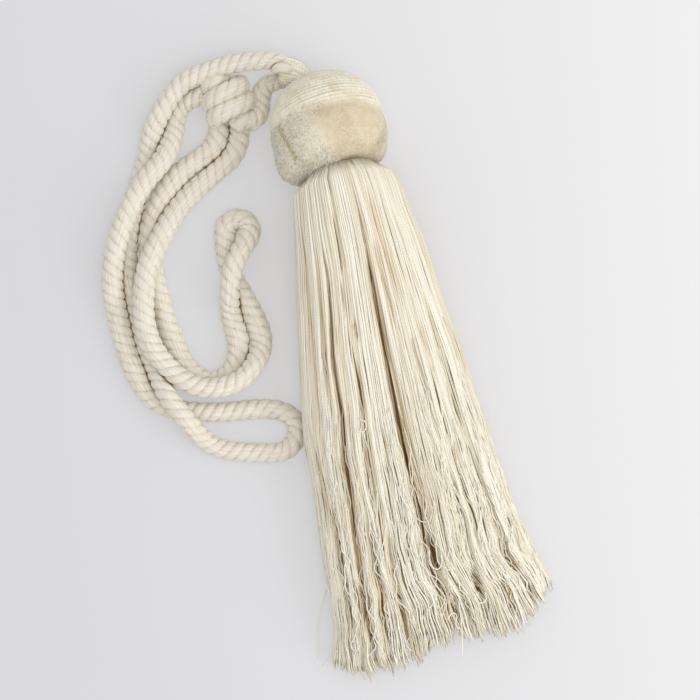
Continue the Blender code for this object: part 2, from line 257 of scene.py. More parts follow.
# %% Table top
TABLE_GLOW = 0.38             # a little light from below, as on a shooting table
TABLE_HALF = 3.0
table_paint = build_material("matt_painted_board", (), (
    ("place", "TexCoord"),
    ("across", "SeparateXYZ", {"Vector": "place.Object"}),
    ("from_left", "MapRange", {"From Min": -0.20, "From Max": 0.22, "Value": "across.X"}),
    # painted shade: the board is darker to the left, lighter towards the lamps on the right
    ("shade", "ValToRGB",
     {"stops": ((0.0, "909094"), (1.0, "ABABAB")), "Fac": "from_left.Result"}),
), {"Roughness": 0.75, "Base Color": "shade.Color", "Emission Color": linear("FFFFFF"),
    "Emission Strength": TABLE_GLOW})
table_points = np.array([(-1, -1, 0), (1, -1, 0), (1, 1, 0), (-1, 1, 0)]) * TABLE_HALF
table_top = put_mesh("table_top", table_points, np.array([[0, 1, 2, 3]]), table_paint)

# %% Light
PICTURE_RIGHT = np.array((math.cos(VIEW_TURN), math.sin(VIEW_TURN), 0.0))
PICTURE_UP = np.array((-math.sin(VIEW_TURN), math.cos(VIEW_TURN), 0.0))
LAMPS = (
    # name         right    up    height   size   watts
    ("ceiling",    0.15,   0.00,   1.90,    1.0,    9.2),
    ("window",     1.30,   0.05,   1.30,    1.3,    6.6),
    ("reflector",  1.35,  -0.95,   0.70,    1.2,    8.0),
)
for name, right, up, height, size, watts in LAMPS:
    lamp = bpy.data.lights.new(name, "AREA")
    lamp.shape, lamp.size, lamp.energy = "DISK", size, watts
    item = bpy.data.objects.new(name, lamp)
    place = PICTURE_RIGHT * right + PICTURE_UP * up + np.array((0.0, 0.0, height))
    item.location = place
    aim = unit(-place)
    item.rotation_euler = (math.acos(-aim[2]), 0.0, math.atan2(aim[1], aim[0]) - math.pi / 2)
    bpy.context.scene.collection.objects.link(item)

room = bpy.data.worlds.new("room")
room.use_nodes = True
fill(room.node_tree, room.node_tree.nodes["Background"],
     {"Color": linear("F8F7F9"), "Strength": 0.75})
bpy.context.scene.world = room
bpy.context.scene.view_settings.view_transform = "Standard"
print("lamps:", [row[0] for row in LAMPS])

# %% [markdown]
# ## Rope
#
# The rope is soft bleached cotton: strands laid round each other. It could be a plain tube
# with a bump, but the strands show in its outline, so they are modelled. One profile with
# a lobe for each strand is carried along the rope's route and turned as it goes, one full
# turn for each lay. The route itself is the one that the frame's tubes follow, read from a
# smooth curve through listed points.

# %% Routes
# Places along the rope: x, y, z in metres.
LOWER_LOOP = (
    (-0.0696, 0.1705, 0.0120), (-0.0739, 0.1700, 0.0095), (-0.0785, 0.1684, 0.0071),
    (-0.0835, 0.1640, 0.0060), (-0.0875, 0.1555, 0.0060), (-0.0915, 0.1470, 0.0100),
    (-0.1005, 0.1365, 0.0170), (-0.1100, 0.1295, 0.0182), (-0.1220, 0.1170, 0.0182),
    (-0.1330, 0.1005, 0.0172), (-0.1395, 0.0865, 0.0148), (-0.1430, 0.0730, 0.0117),
    (-0.1440, 0.0605, 0.0078), (-0.1440, 0.0460, 0.0058), (-0.1415, 0.0225, 0.0058),
    (-0.1340, 0.0035, 0.0058), (-0.1205, -0.0050, 0.0058), (-0.0970, -0.0115, 0.0058),
    (-0.0740, -0.0150, 0.0058), (-0.0620, -0.0200, 0.0058), (-0.0570, -0.0270, 0.0058),
    (-0.0590, -0.0360, 0.0058), (-0.0665, -0.0415, 0.0058), (-0.0780, -0.0405, 0.0058),
    (-0.0990, -0.0340, 0.0058), (-0.1095, -0.0265, 0.0082), (-0.1165, -0.0150, 0.0155),
    (-0.1225, -0.0030, 0.0181), (-0.1270, 0.0095, 0.0145), (-0.1290, 0.0220, 0.0075),
)
HANGER = (
    (-0.1310, 0.0365, 0.0058), (-0.1315, 0.0550, 0.0058), (-0.1325, 0.0725, 0.0058),
    (-0.1315, 0.0885, 0.0058), (-0.1270, 0.1040, 0.0058), (-0.1155, 0.1270, 0.0058),
    (-0.1065, 0.1435, 0.0059), (-0.1020, 0.1530, 0.0087), (-0.0975, 0.1605, 0.0125),
    (-0.0910, 0.1675, 0.0158), (-0.0840, 0.1745, 0.0173), (-0.0745, 0.1805, 0.0185),
    (-0.0625, 0.1830, 0.0200), (-0.0495, 0.1838, 0.0216), (-0.0390, 0.1835, 0.0230),
    (-0.0307, 0.1822, 0.0238), (-0.0249, 0.1811, 0.0241), (-0.0199, 0.1796, 0.0238),
    (-0.0152, 0.1770, 0.0224), (-0.0130, 0.1725, 0.0185), (-0.0158, 0.1690, 0.0140),
    (-0.0212, 0.1687, 0.0108), (-0.0272, 0.1686, 0.0100), (-0.0316, 0.1658, 0.0102),
    (-0.0342, 0.1604, 0.0110), (-0.0360, 0.1549, 0.0125), (-0.0390, 0.1507, 0.0155),
    (-0.0434, 0.1489, 0.0185),
)
UPPER_LOOP_OUT = (
    (-0.0497, 0.1486, 0.0078), (-0.0530, 0.1390, 0.0062), (-0.0595, 0.1315, 0.0058),
    (-0.0755, 0.1225, 0.0058), (-0.0905, 0.1135, 0.0070), (-0.0990, 0.1065, 0.0105),
    (-0.1060, 0.0990, 0.0142), (-0.1125, 0.0910, 0.0170), (-0.1195, 0.0810, 0.0181),
    (-0.1265, 0.0635, 0.0181), (-0.1290, 0.0400, 0.0181), (-0.1230, 0.0235, 0.0181),
    (-0.1110, 0.0085, 0.0181), (-0.0960, 0.0030, 0.0181), (-0.0825, 0.0045, 0.0181),
    (-0.0735, 0.0105, 0.0145), (-0.0675, 0.0185, 0.0080), (-0.0655, 0.0270, 0.0058),
    (-0.0674, 0.0420, 0.0058), (-0.0710, 0.0562, 0.0058), (-0.0736, 0.0642, 0.0058),
    (-0.0747, 0.0716, 0.0058), (-0.0743, 0.0786, 0.0058), (-0.0729, 0.0855, 0.0058),
    (-0.0715, 0.0914, 0.0058), (-0.0675, 0.0953, 0.0058), (-0.0628, 0.0956, 0.0060),
    (-0.0590, 0.0931, 0.0068),
)
UPPER_LOOP_BACK = (
    (-0.0577, 0.0883, 0.0088), (-0.0606, 0.0826, 0.0124), (-0.0655, 0.0773, 0.0158),
    (-0.0705, 0.0709, 0.0177), (-0.0749, 0.0622, 0.0177), (-0.0777, 0.0532, 0.0150),
    (-0.0795, 0.0430, 0.0073), (-0.0790, 0.0275, 0.0058), (-0.0815, 0.0180, 0.0058),
    (-0.0870, 0.0110, 0.0058), (-0.0970, 0.0075, 0.0058), (-0.1065, 0.0125, 0.0058),
    (-0.1125, 0.0225, 0.0058), (-0.1160, 0.0370, 0.0058), (-0.1175, 0.0570, 0.0058),
    (-0.1180, 0.0750, 0.0058), (-0.1170, 0.0910, 0.0058), (-0.1145, 0.1010, 0.0058),
    (-0.1055, 0.1155, 0.0058), (-0.0890, 0.1300, 0.0058), (-0.0720, 0.1375, 0.0062),
    (-0.0655, 0.1425, 0.0070), (-0.0612, 0.1510, 0.0078),
)


# %% Smooth curve through a route
def smooth_curve(route, fine=24):
    """Points on the natural cubic spline through a route, the parameter growing with the
    square root of each chord."""
    points = np.array(route)
    count = len(points)
    chords = np.sqrt(np.linalg.norm(np.diff(points, axis=0), axis=1))
    slope = np.diff(points, axis=0) / chords[:, None]
    system = np.eye(count)
    bend = np.zeros((count, 3))
    for i in range(1, count - 1):
        system[i, i - 1:i + 2] = chords[i - 1], 2 * (chords[i - 1] + chords[i]), chords[i]
        bend[i] = 6 * (slope[i] - slope[i - 1])
    bend = np.linalg.solve(system, bend)
    pieces = []
    for i, h in enumerate(chords):
        u = np.linspace(0, h, fine, endpoint=False)[:, None]
        start = bend[i] * (h - u) ** 3 / (6 * h) + (points[i] / h - bend[i] * h / 6) * (h - u)
        end = bend[i + 1] * u ** 3 / (6 * h) + (points[i + 1] / h - bend[i + 1] * h / 6) * u
        pieces.append(start + end)
    return np.concatenate(pieces + [points[-1:]])


def even_steps(curve, spacing):
    """Points at an even spacing along a curve, and how far along it each one is."""
    lengths = np.linalg.norm(np.diff(curve, axis=0), axis=1)
    along = np.concatenate(([0.0], np.cumsum(lengths)))
    wanted = np.linspace(0, along[-1], int(along[-1] / spacing) + 1)
    return np.stack([np.interp(wanted, along, curve[:, k]) for k in range(3)], axis=1), wanted


# %% [markdown]
# The rope's profile has three round lobes. A lobe is an arch over its share of the turn, so
# two neighbours meet in a sharp groove, as two soft strands do. The lay goes to the left:
# seen from any side, the strands slope like the middle of the letter S.

# %% Rope mesh
ROPE_THICK = 0.0118
ROPE_STRANDS = 3
ROPE_LAY = 0.0182             # one full turn of a strand
ROPE_GROOVE = 0.0021          # depth of the groove between two strands
ROPE_ARCH = 2.6               # 2 is a round lobe, more is a flatter one
ROPE_STEP = 0.0007            # from one ring of points to the next
ROPE_SIDES = 48
PRESS_REACH = 0.0018          # how near another rope has to be for its painted shade to show
OWN_REACH = 0.03              # a rope's next bit, up to here, isn't another rope
NEAR_STRIDE = 3               # every third station is enough to find what lies close
UPRIGHT = np.array((0.0, 0.0, 1.0))


def strand_arch(turn, strands):
    """How high the profile is at an angle: 1 on a strand's crown, 0 in a groove. Across
    each strand, q runs from -1 to 1, and the height is (1 - |q|^p)^(1/p)."""
    q = np.mod(turn * strands / TURN, 1.0) * 2 - 1
    return (1 - np.abs(q) ** ROPE_ARCH) ** (1 / ROPE_ARCH)


def closeness(points, along, lines):
    """How close each point of a rope is to another stretch of rope: 1 where they touch, 0
    from PRESS_REACH away. lines holds each stretch's middle line and, where that is the
    same rope, how far along it each place is, because a rope's next bit doesn't count."""
    flat = points.reshape(-1, 3)
    nearest = np.ones(len(flat))
    for line, line_along in lines:
        square = ((flat ** 2).sum(axis=1)[:, None] + (line ** 2).sum(axis=1)
                  - 2 * flat @ line.T)
        if line_along is not None:
            apart = np.abs(np.repeat(along, points.shape[1])[:, None] - line_along)
            square = np.where(apart < OWN_REACH, 1.0, square)
        nearest = np.minimum(nearest, square.min(axis=1))
    gap = np.sqrt(np.maximum(nearest, 0)) - ROPE_THICK / 2
    return np.clip(1 - gap / PRESS_REACH, 0, 1).reshape(points.shape[:2])


def laid_rope(name, middle, along, outward, radius, lines, groove=ROPE_GROOVE,
              sides=ROPE_SIDES, squash=(1.0, 1.0), shade=1.0):
    """A rope along its middle line: at each station a ring of points whose distance from
    the line is the radius less the groove, turned back by one full turn for each lay.
    outward is the direction from which the ring's angle is measured, squash makes the ring
    wider or thinner across and along that direction, lines are what it lies against, and
    shade is how dark the painted shade is where it lies against them."""
    heading = unit(np.gradient(middle, axis=0))
    up = unit(outward - heading * np.sum(outward * heading, axis=1, keepdims=True))
    side = np.cross(up, heading)
    angle = round_turn(sides)
    arch = strand_arch(angle + TURN * along[:, None] / ROPE_LAY, ROPE_STRANDS)
    reach = radius[:, None] - groove * (1 - arch)
    points = (middle[:, None] + side[:, None] * (reach * np.cos(angle) * squash[0])[..., None]
              + up[:, None] * (reach * np.sin(angle) * squash[1])[..., None])
    points[..., 2] = np.maximum(points[..., 2], TABLE_GAP)      # flat where it lies
    # painted shade: crown darkens the grooves, close browns the rope where another lies near
    values = {"crown": arch, "close": shade * closeness(points, along, lines)}
    return put_tubes(name, points[None], rope_cotton, values, uv=(
        along[:, None] * MM, np.linspace(0, np.pi * ROPE_THICK * MM, sides + 1)))


# %% [markdown]
# ### Rope finish
#
# Bleached cotton is a matt cream. Each strand is a bundle of yarns that are twisted the
# other way, so on the rope's surface they lie nearly straight along it, as fine lines. The
# UV map holds millimetres along and round the rope, so the yarns follow every bend. Grooves
# and places where two ropes touch are painted browner and darker: painted shade, where
# little light gets in.

# %% Twisted cotton
YARN_MM = 0.9                 # a yarn's width, drawn about twice as coarse as it really is
YARN_RUN_MM = 14.0            # how far one yarn can be followed

rope_cotton = build_material("twisted_bleached_cotton", ("crown", "close"), (
    ("lay", "UVMap", {"uv_map": "lay"}),
    ("yarns", "Mapping", {"Scale": (1 / YARN_RUN_MM, 1 / YARN_MM, 1.0), "Vector": "lay.UV"}),
    ("lines", "TexNoise",
     {"Scale": 1.0, "Detail": 3.0, "Roughness": 0.6, "Vector": "yarns.Vector"}),
    # painted shade: darker and browner in the grooves between strands
    ("cream", "ValToRGB", {"stops": ((0.0, "C6B392"), (0.55, "E9E3D7")), "Fac": "crown.Fac"}),
    ("tint", "ValToRGB", {"stops": ((0.3, "E8E3D8"), (0.62, "FFFFFF")), "Fac": "lines.Fac"}),
    ("mixed", "Mix", {**MULTIPLY, "A": "cream.Color", "B": "tint.Color"}),
    # painted shade: brown, darkest where another rope touches
    ("pressed", "ValToRGB",
     {"stops": ((0.1, "FFFFFF"), (0.6, "C2AC88"), (1.0, "6F5538")), "Fac": "close.Fac"}),
    ("shaded", "Mix", {**MULTIPLY, "A": "mixed.Result", "B": "pressed.Color"}),
    ("relief", "Bump", {"Strength": 0.5, "Distance": 0.0005, "Height": "lines.Fac"}),
), {"Roughness": 0.95, "Sheen Weight": 0.25, "Base Color": "shaded.Result",
    "Normal": "relief.Normal"})

# %% The two stretches of rope
# Each rope's route, and how many stations it goes on at its start and end, in the knot.
ROPES = (
    ("rope_long", LOWER_LOOP + HANGER, 8, 0),
    ("rope_short", UPPER_LOOP_OUT + UPPER_LOOP_BACK, 6, 6),
)
# Where the rope is pressed thin or bulges: place, reach and change of radius.
PRESSED = (
    ((-0.0130, 0.1735, 0.0190), 0.0120, -0.0023),   # the bend in the neck loop
    ((-0.0650, 0.0880, 0.0070), 0.0090, 0.0017),    # the upper loop's tight bend
    ((-0.1240, 0.0910, 0.0060), 0.0260, 0.0010),    # from here on, where ropes lie together
    ((-0.1380, 0.0560, 0.0060), 0.0200, 0.0006),
    ((-0.0951, 0.1532, 0.0090), 0.0140, 0.0007),
    ((-0.0611, 0.1381, 0.0060), 0.0140, 0.0008),
    ((-0.0904, 0.1223, 0.0062), 0.0140, 0.0011),
    ((-0.1110, 0.1200, 0.0060), 0.0120, 0.0009),
    ((-0.1364, 0.0300, 0.0060), 0.0160, 0.0007),
    ((-0.0730, 0.0290, 0.0060), 0.0150, 0.0011),
    ((-0.1220, 0.0380, 0.0070), 0.0120, 0.0009),
)
rope_routes = {name: even_steps(smooth_curve(route), ROPE_STEP) for name, route, *_ in ROPES}
rope_pieces = {}
for name, _, before, after in ROPES:
    lines = [(line[::NEAR_STRIDE], run[::NEAR_STRIDE] if other == name else None)
             for other, (line, run) in rope_routes.items()]
    middle, along = rope_routes[name]
    middle = np.concatenate((
        middle[0] - (middle[1] - middle[0]) * np.arange(before, 0, -1)[:, None], middle,
        middle[-1] + (middle[-1] - middle[-2]) * np.arange(1, after + 1)[:, None]))
    along = along[1] * np.arange(-before, len(middle) - before)
    radius = ROPE_THICK / 2 + sum(
        change * np.exp(-(np.linalg.norm(middle - place, axis=1) / reach) ** 2)
        for place, reach, change in PRESSED)
    rope_pieces[name] = laid_rope(name + "_strands", middle, along, UPRIGHT, radius, lines)
    stands_for(name, "cotton_rope", rope_pieces[name])
    print(name, "length, m:", round(rope_routes[name][1][-1], 4))

# %% [markdown]
# ## Knot
#
# The rope's two stretches are bound together by the rope itself, coiled three times round
# them and tucked in. The coil is the same laid rope on a screw line. Pulled tight, each
# turn is pressed flat against its neighbours, so the profile is squeezed both ways, and
# the radius of the screw falls away at both ends, where the rope goes inside.

# %% Coiled turns
KNOT_CENTRE = np.array((-0.0528, 0.1634, 0.0143))
KNOT_AXIS = unit(np.array((0.0855, -0.9963, 0.0)))
KNOT_SIDE = np.cross(UPRIGHT, KNOT_AXIS)
KNOT_HALF, KNOT_RADIUS, KNOT_POWER = 0.0178, 0.0157, 3.2
KNOT_PITCH = 0.0097           # from one turn to the next
KNOT_PHASE = 0.0023           # where along the axis a turn starts
KNOT_SQUEEZE = (0.99, 0.84)   # of the rope's width and thickness
KNOT_FROM, KNOT_TO = -0.0150, 0.0140
KNOT_TUCK = 0.0026            # how far from its ends the coil begins to go inside
KNOT_SHADE = 0.2              # the tight turns show little of the painted shade between ropes
KNOT_INSIDE = 0.25            # how much of the coil's radius its hidden ends still have
KNOT_UNEVEN = 0.035           # no two turns are quite alike

fine = np.linspace(KNOT_FROM, KNOT_TO, 900)
turn = TURN * (fine - KNOT_PHASE) / KNOT_PITCH
thick = ROPE_THICK / 2 * KNOT_SQUEEZE[1]
envelope = KNOT_RADIUS * (1 - np.abs(fine / KNOT_HALF) ** KNOT_POWER) ** (1 / KNOT_POWER)
tuck = (grows(fine, KNOT_FROM, KNOT_FROM + KNOT_TUCK)
        * grows(-fine, -KNOT_TO, KNOT_TUCK - KNOT_TO))
screw = (envelope - thick) * (KNOT_INSIDE + (1 - KNOT_INSIDE) * np.sin(tuck * np.pi / 2))
screw = screw * (1 + KNOT_UNEVEN * np.sin(2.3 * turn + 1.0))
outward = KNOT_SIDE * np.cos(turn)[:, None] + UPRIGHT * np.sin(turn)[:, None]
coil = KNOT_CENTRE + KNOT_AXIS * fine[:, None] + outward * screw[:, None]
coil, coil_along = even_steps(coil, ROPE_STEP)
outward = unit(coil - KNOT_CENTRE - KNOT_AXIS * ((coil - KNOT_CENTRE) @ KNOT_AXIS)[:, None])
knot_piece = laid_rope("knot_strands", coil, coil_along, outward,
                       np.full(len(coil), ROPE_THICK / 2),
                       [(coil[::NEAR_STRIDE], coil_along[::NEAR_STRIDE])],
                       groove=ROPE_GROOVE * 0.9, squash=KNOT_SQUEEZE, shade=KNOT_SHADE)
stands_for("knot", "cotton_rope", knot_piece)
print("rope in the knot, m:", round(coil_along[-1], 3))

# %% [markdown]
# ## Thread
#
# Rayon embroidery thread is smooth and slightly glossy, with a fine twist. Undyed, it is a
# warm ivory. Shade between the threads is painted into their colour: the deeper a thread
# lies, the darker it is painted, and a saturated tan and not grey, as light that reaches a
# parting has passed through rayon many times. Where threads lie tightly together, each
# one's flanks are painted a shaded tan too.

# %% Rayon thread
TWIST_MM = 1.4                # one turn of a thread's twist, drawn coarser than it is

ivory_rayon = build_material("ivory_rayon_thread", ("deep", "tone", "top", "packed"), (
    ("lay", "UVMap", {"uv_map": "lay"}),
    ("turned", "Mapping", {"Scale": (1 / TWIST_MM, 1.0, 1.0), "Vector": "lay.UV"}),
    ("twist", "TexWave",
     {"wave_type": "BANDS", "bands_direction": "DIAGONAL", "Scale": 0.5, "Distortion": 0.6,
      "Vector": "turned.Vector"}),
    # painted shade: the deeper a thread lies, the darker and tanner its colour
    ("depth", "ValToRGB",
     {"stops": ((0.0, "F4F2E8"), (0.16, "EFE9D8"), (0.40, "E0D1AE"), (1.0, "BA9C70")),
      "Fac": "deep.Fac"}),
    # painted shade: a thread's underside and flanks are tan, its top white
    ("flank", "ValToRGB", {"stops": ((0.22, "BFA878"), (0.80, "FFFFFF")), "Fac": "top.Fac"}),
    ("sided", "Mix",
     {**MULTIPLY, "Factor": "packed.Fac", "A": "depth.Color", "B": "flank.Color"}),
    ("tint", "ValToRGB",
     {"stops": ((0.0, "ECE4D3"), (0.5, "F8F5EE"), (1.0, "FFFFFF")), "Fac": "tone.Fac"}),
    ("mixed", "Mix", {**MULTIPLY, "A": "sided.Result", "B": "tint.Color"}),
    ("plies", "ValToRGB", {"stops": ((0.1, "E6DECD"), (0.6, "FFFFFF")), "Fac": "twist.Fac"}),
    ("plied", "Mix", {**MULTIPLY, "Factor": 0.35, "A": "mixed.Result", "B": "plies.Color"}),
    ("relief", "Bump", {"Strength": 0.2, "Distance": 0.0002, "Height": "twist.Fac"}),
), {"Roughness": 0.62, "Sheen Weight": 0.15, "Specular IOR Level": 0.35,
    "Base Color": "plied.Result", "Normal": "relief.Normal"})


# %% Thin tubes along many lines
def lay_tubes(name, lines, radius, sides, values):
    """Thread along many lines at once, lifted where it would sink into the table, with a UV
    map in millimetres along and turns round. Each ring is the middle line's point plus the
    radius times up * cos(angle) + side * sin(angle)."""
    count, stations, _ = lines.shape
    lines = lines.copy()
    lines[..., 2] = np.maximum(lines[..., 2], radius)
    heading = unit(np.gradient(lines, axis=1))
    side = unit(np.cross(heading, UPRIGHT))
    up = np.cross(side, heading)
    angle = round_turn(sides)[:, None]
    ring = up[:, :, None] * np.cos(angle) + side[:, :, None] * np.sin(angle)
    steps = np.linalg.norm(np.diff(lines, axis=1), axis=2)
    along = np.concatenate((np.zeros((count, 1)), np.cumsum(steps, axis=1)), axis=1)
    along += rng.uniform(0, 0.2, (count, 1))      # so that no two twists are in step
    # top is 1 on a thread's top and 0 underneath, for the painted shade on its flanks
    values = {**{key: number[..., None] for key, number in values.items()},
              "top": 0.5 + 0.5 * np.cos(angle[:, 0])}
    return put_tubes(name, lines[:, :, None] + ring * radius[..., None, None], ivory_rayon,
                     {key: np.broadcast_to(number, (count, stations, sides))
                      for key, number in values.items()},
                     uv=(along[..., None] * MM, np.linspace(1, 0, sides + 1)))


# %% [markdown]
# ## Neck loop
#
# The tassel hangs from its rope by a loop of thread-covered cords on top of the ball. They
# come out of the ball, pass round the rope's bend and go back in, so they lie round the
# bend like a sleeve. Each cord is a thin tube whose place round the sleeve is one angle,
# and its twist shows as small knobs. Beside the sleeve one strand of the rope is pushed up
# in a smooth lobe.

# %% Cords of the neck loop
NECK_CORDS, NECK_STATIONS = 28, 60
NECK_CORD = 0.00105           # radius of a cord
NECK_KNOB = 0.0020            # one turn of a cord's twist
NECK_LENGTH = 0.022
# Half the sleeve's width and height, each with its share at the near end and how much of
# it is lost in the ball.
NECK_WIDE, NECK_HIGH = (0.0079, 0.62, 0.45), (0.0074, 0.55, 0.35)
NECK_ROUND = 0.16             # the share of its length over which its near end is round
NECK_IN = 0.55                # the share from which it grows narrower, into the ball
NECK_SWAY = 0.0003
NECK_ACROSS = np.array((0.2266, 0.974, 0.0))
NECK_LINE = np.array(((-0.0196, 0.1736, 0.0194), (-0.0085, 0.1712, 0.0204),
                      (-0.0030, 0.1615, 0.0215)))


def one_each(low=0.0, high=1.0):
    """A random number for each cord of the neck."""
    return rng.uniform(low, high, (NECK_CORDS, 1))


turn = (np.arange(NECK_CORDS)[:, None] + one_each(0.35, 0.65)) / NECK_CORDS * TURN
part = np.linspace(0, 1, NECK_STATIONS)[None, :]
weights = ((1 - part) ** 2, 2 * part * (1 - part), part ** 2)
centre = sum(weight[..., None] * corner for weight, corner in zip(weights, NECK_LINE))
round_end = np.sqrt(1 - (1 - grows(part, 0, NECK_ROUND)) ** 2)
going_in = grows(part, NECK_IN, 1)
wide, high = (size * (at_end + (1 - at_end) * round_end) * (1 - lost * going_in)
              for size, at_end, lost in (NECK_WIDE, NECK_HIGH))
sway = NECK_SWAY * wave(part * 1.5 + one_each())
neck_lines = (centre + NECK_ACROSS * (wide * np.cos(turn) + sway)[..., None]
              + UPRIGHT * (high * np.sin(turn))[..., None])
knobs = wave(part * NECK_LENGTH / NECK_KNOB + one_each())
# painted shade: the hollows between a cord's knobs are a little darker
neck_values = {"deep": 0.05 * np.clip(1 - knobs, 0, 1), "tone": one_each(),
               "packed": np.ones((1, 1))}
neck_cords = lay_tubes("neck_loop_cords", neck_lines, NECK_CORD * (1 + 0.08 * knobs), 8,
                       neck_values)

# %% The lobe beside them
LOBE_ROUTE = ((-0.0228, 0.1746, 0.0225), (-0.0214, 0.1753, 0.0272), (-0.0180, 0.1747, 0.0295),
              (-0.0150, 0.1732, 0.0285), (-0.0136, 0.1722, 0.0240))
LOBE_RADIUS = 0.0031
LOBE_STEP = 0.0003
middle, along = even_steps(smooth_curve(LOBE_ROUTE), LOBE_STEP)
lobe_radius = LOBE_RADIUS * np.sqrt(np.clip(1 - np.abs(2 * along / along[-1] - 1) ** 3, 0.02, 1))
neck_lobe = laid_rope("neck_loop_lobe", middle, along, UPRIGHT, lobe_radius,
                      [(line[::NEAR_STRIDE], None) for line, _ in rope_routes.values()],
                      groove=0.0001, sides=28)
stands_for("neck_loop", "thread_wrap", neck_cords, neck_lobe)

# %% [markdown]
# ## Ball
#
# The ball is a wooden mould. Its top half is wound with rows of thread-covered cord, and
# its lower half is covered in cut pile: short rayon threads that stand on end, brushed
# smooth on one side and rough on the other. The rows are ridges of the ball's own surface,
# worked out from the angle above its middle. The pile is thousands of small tufts, because
# its rough outline and its sparkle come from separate tips.

# %% Ball surface
BALL_CENTRE = np.array((0.0, 0.1350, 0.0330))
BALL_AXIS = unit(np.array((-0.08, 0.93, -0.36)))
BALL_SIDE = unit(np.cross(BALL_AXIS, UPRIGHT))
BALL_UP = np.cross(BALL_SIDE, BALL_AXIS)
BALL_RADIUS = 0.0335
BALL_TOP, BALL_TOP_POWER = 0.0320, 2.25
BALL_FOOT, BALL_FOOT_POWER = 0.0280, 3.2
PILE_LENGTH = 0.0008
FLARES = (                    # where the pile stands out below: direction, how far, angle
    (unit(np.array((-0.80, -0.60, 0.05))), 0.0042, 0.34),
    (unit(np.array((0.72, -0.69, 0.05))), 0.0026, 0.22),
)


def ball_reach(direction):
    """How far the ball's surface is from its centre in a direction: on an oval whose half
    lengths are the radius and the top or foot, with the power of its squareness."""
    along = direction @ BALL_AXIS
    across = np.sqrt(np.clip(1 - along ** 2, 0, 1))
    power = np.where(along > 0, BALL_TOP_POWER, BALL_FOOT_POWER)
    length = np.where(along > 0, BALL_TOP, BALL_FOOT)
    oval = ((across / BALL_RADIUS) ** power + (np.abs(along) / length) ** power) ** (-1 / power)
    for towards, rise, width in FLARES:
        angle = np.arccos(np.clip(direction @ towards, -1, 1))
        oval = oval + rise * np.exp(-(angle / width) ** 2)
    return oval


def ball_direction(latitude, longitude):
    """The direction at an angle above the ball's middle and an angle round its axis."""
    flat = np.cos(latitude)[..., None]
    return (BALL_AXIS * np.sin(latitude)[..., None]
            + BALL_SIDE * flat * np.cos(longitude)[..., None]
            + BALL_UP * flat * np.sin(longitude)[..., None])


# %% Where the ball is wound, brushed, parted and clumped
PARTING = np.array(((-0.0278, 0.1405), (-0.0225, 0.1200)))   # a line where the pile parts
PARTING_WIDTH, PARTING_DEPTH = 0.0011, 0.0010
WOUND_EDGE = 0.11             # how soft the border of the wound half is, in radians
BRUSH_PLACE, BRUSH_SLANT = (-0.0120, 0.1547), 0.375          # the brushed side's border
BRUSH_EDGE = 0.004


def wound(latitude, longitude):
    """1 on the wound top half, 0 on the pile, with a wavy border between them."""
    border = (0.07 - 0.20 * np.cos(longitude) + 0.04 * np.sin(2 * longitude + 0.6)
              + 0.03 * np.sin(7 * longitude))
    return grows(latitude, border - WOUND_EDGE, border + WOUND_EDGE)


def brushed(points):
    """1 where the pile is brushed smooth, on the right below a slanting line, else 0."""
    border = BRUSH_PLACE[0] + (BRUSH_PLACE[1] - points[..., 1]) * BRUSH_SLANT
    return grows(points[..., 0], border - BRUSH_EDGE, border + BRUSH_EDGE)


def parted(points):
    """1 on the line where the pile parts, 0 more than two millimetres away."""
    run = PARTING[1] - PARTING[0]
    off = points[..., :2] - PARTING[0]
    share = np.clip(off @ run / (run @ run), 0, 1)
    away = np.linalg.norm(off - share[..., None] * run, axis=-1)
    return np.exp(-(away / PARTING_WIDTH) ** 2) * (points[..., 2] > BALL_CENTRE[2])


def clumps(points, length, terms=40):
    """A smooth random field in space of about -1 to 1: plane waves of one length that run
    in random directions, so its lumps are half that length across."""
    ways = unit(rng.normal(0, 1, (terms, 3))) * (TURN / length)
    waves = np.sin(points @ ways.T + rng.uniform(0, TURN, terms))
    return np.clip(waves.sum(axis=-1) / math.sqrt(terms) * 1.2, -1, 1)


# %% [markdown]
# ### Ball finish
#
# Pile is painted with its shade: dark between its threads, where shade falls, and light at
# their tips, so its colour goes with the height above the ground. On the brushed side the
# threads lie over and show their warm sides. The wound rows are crossed by the fine threads
# that cover them, and the grooves between rows and the pile's parting are painted darker,
# as painted shade.

# %% Ground of pile and wound cord
TICK_MM = 1.1                 # threads across a row, a little coarser than they are

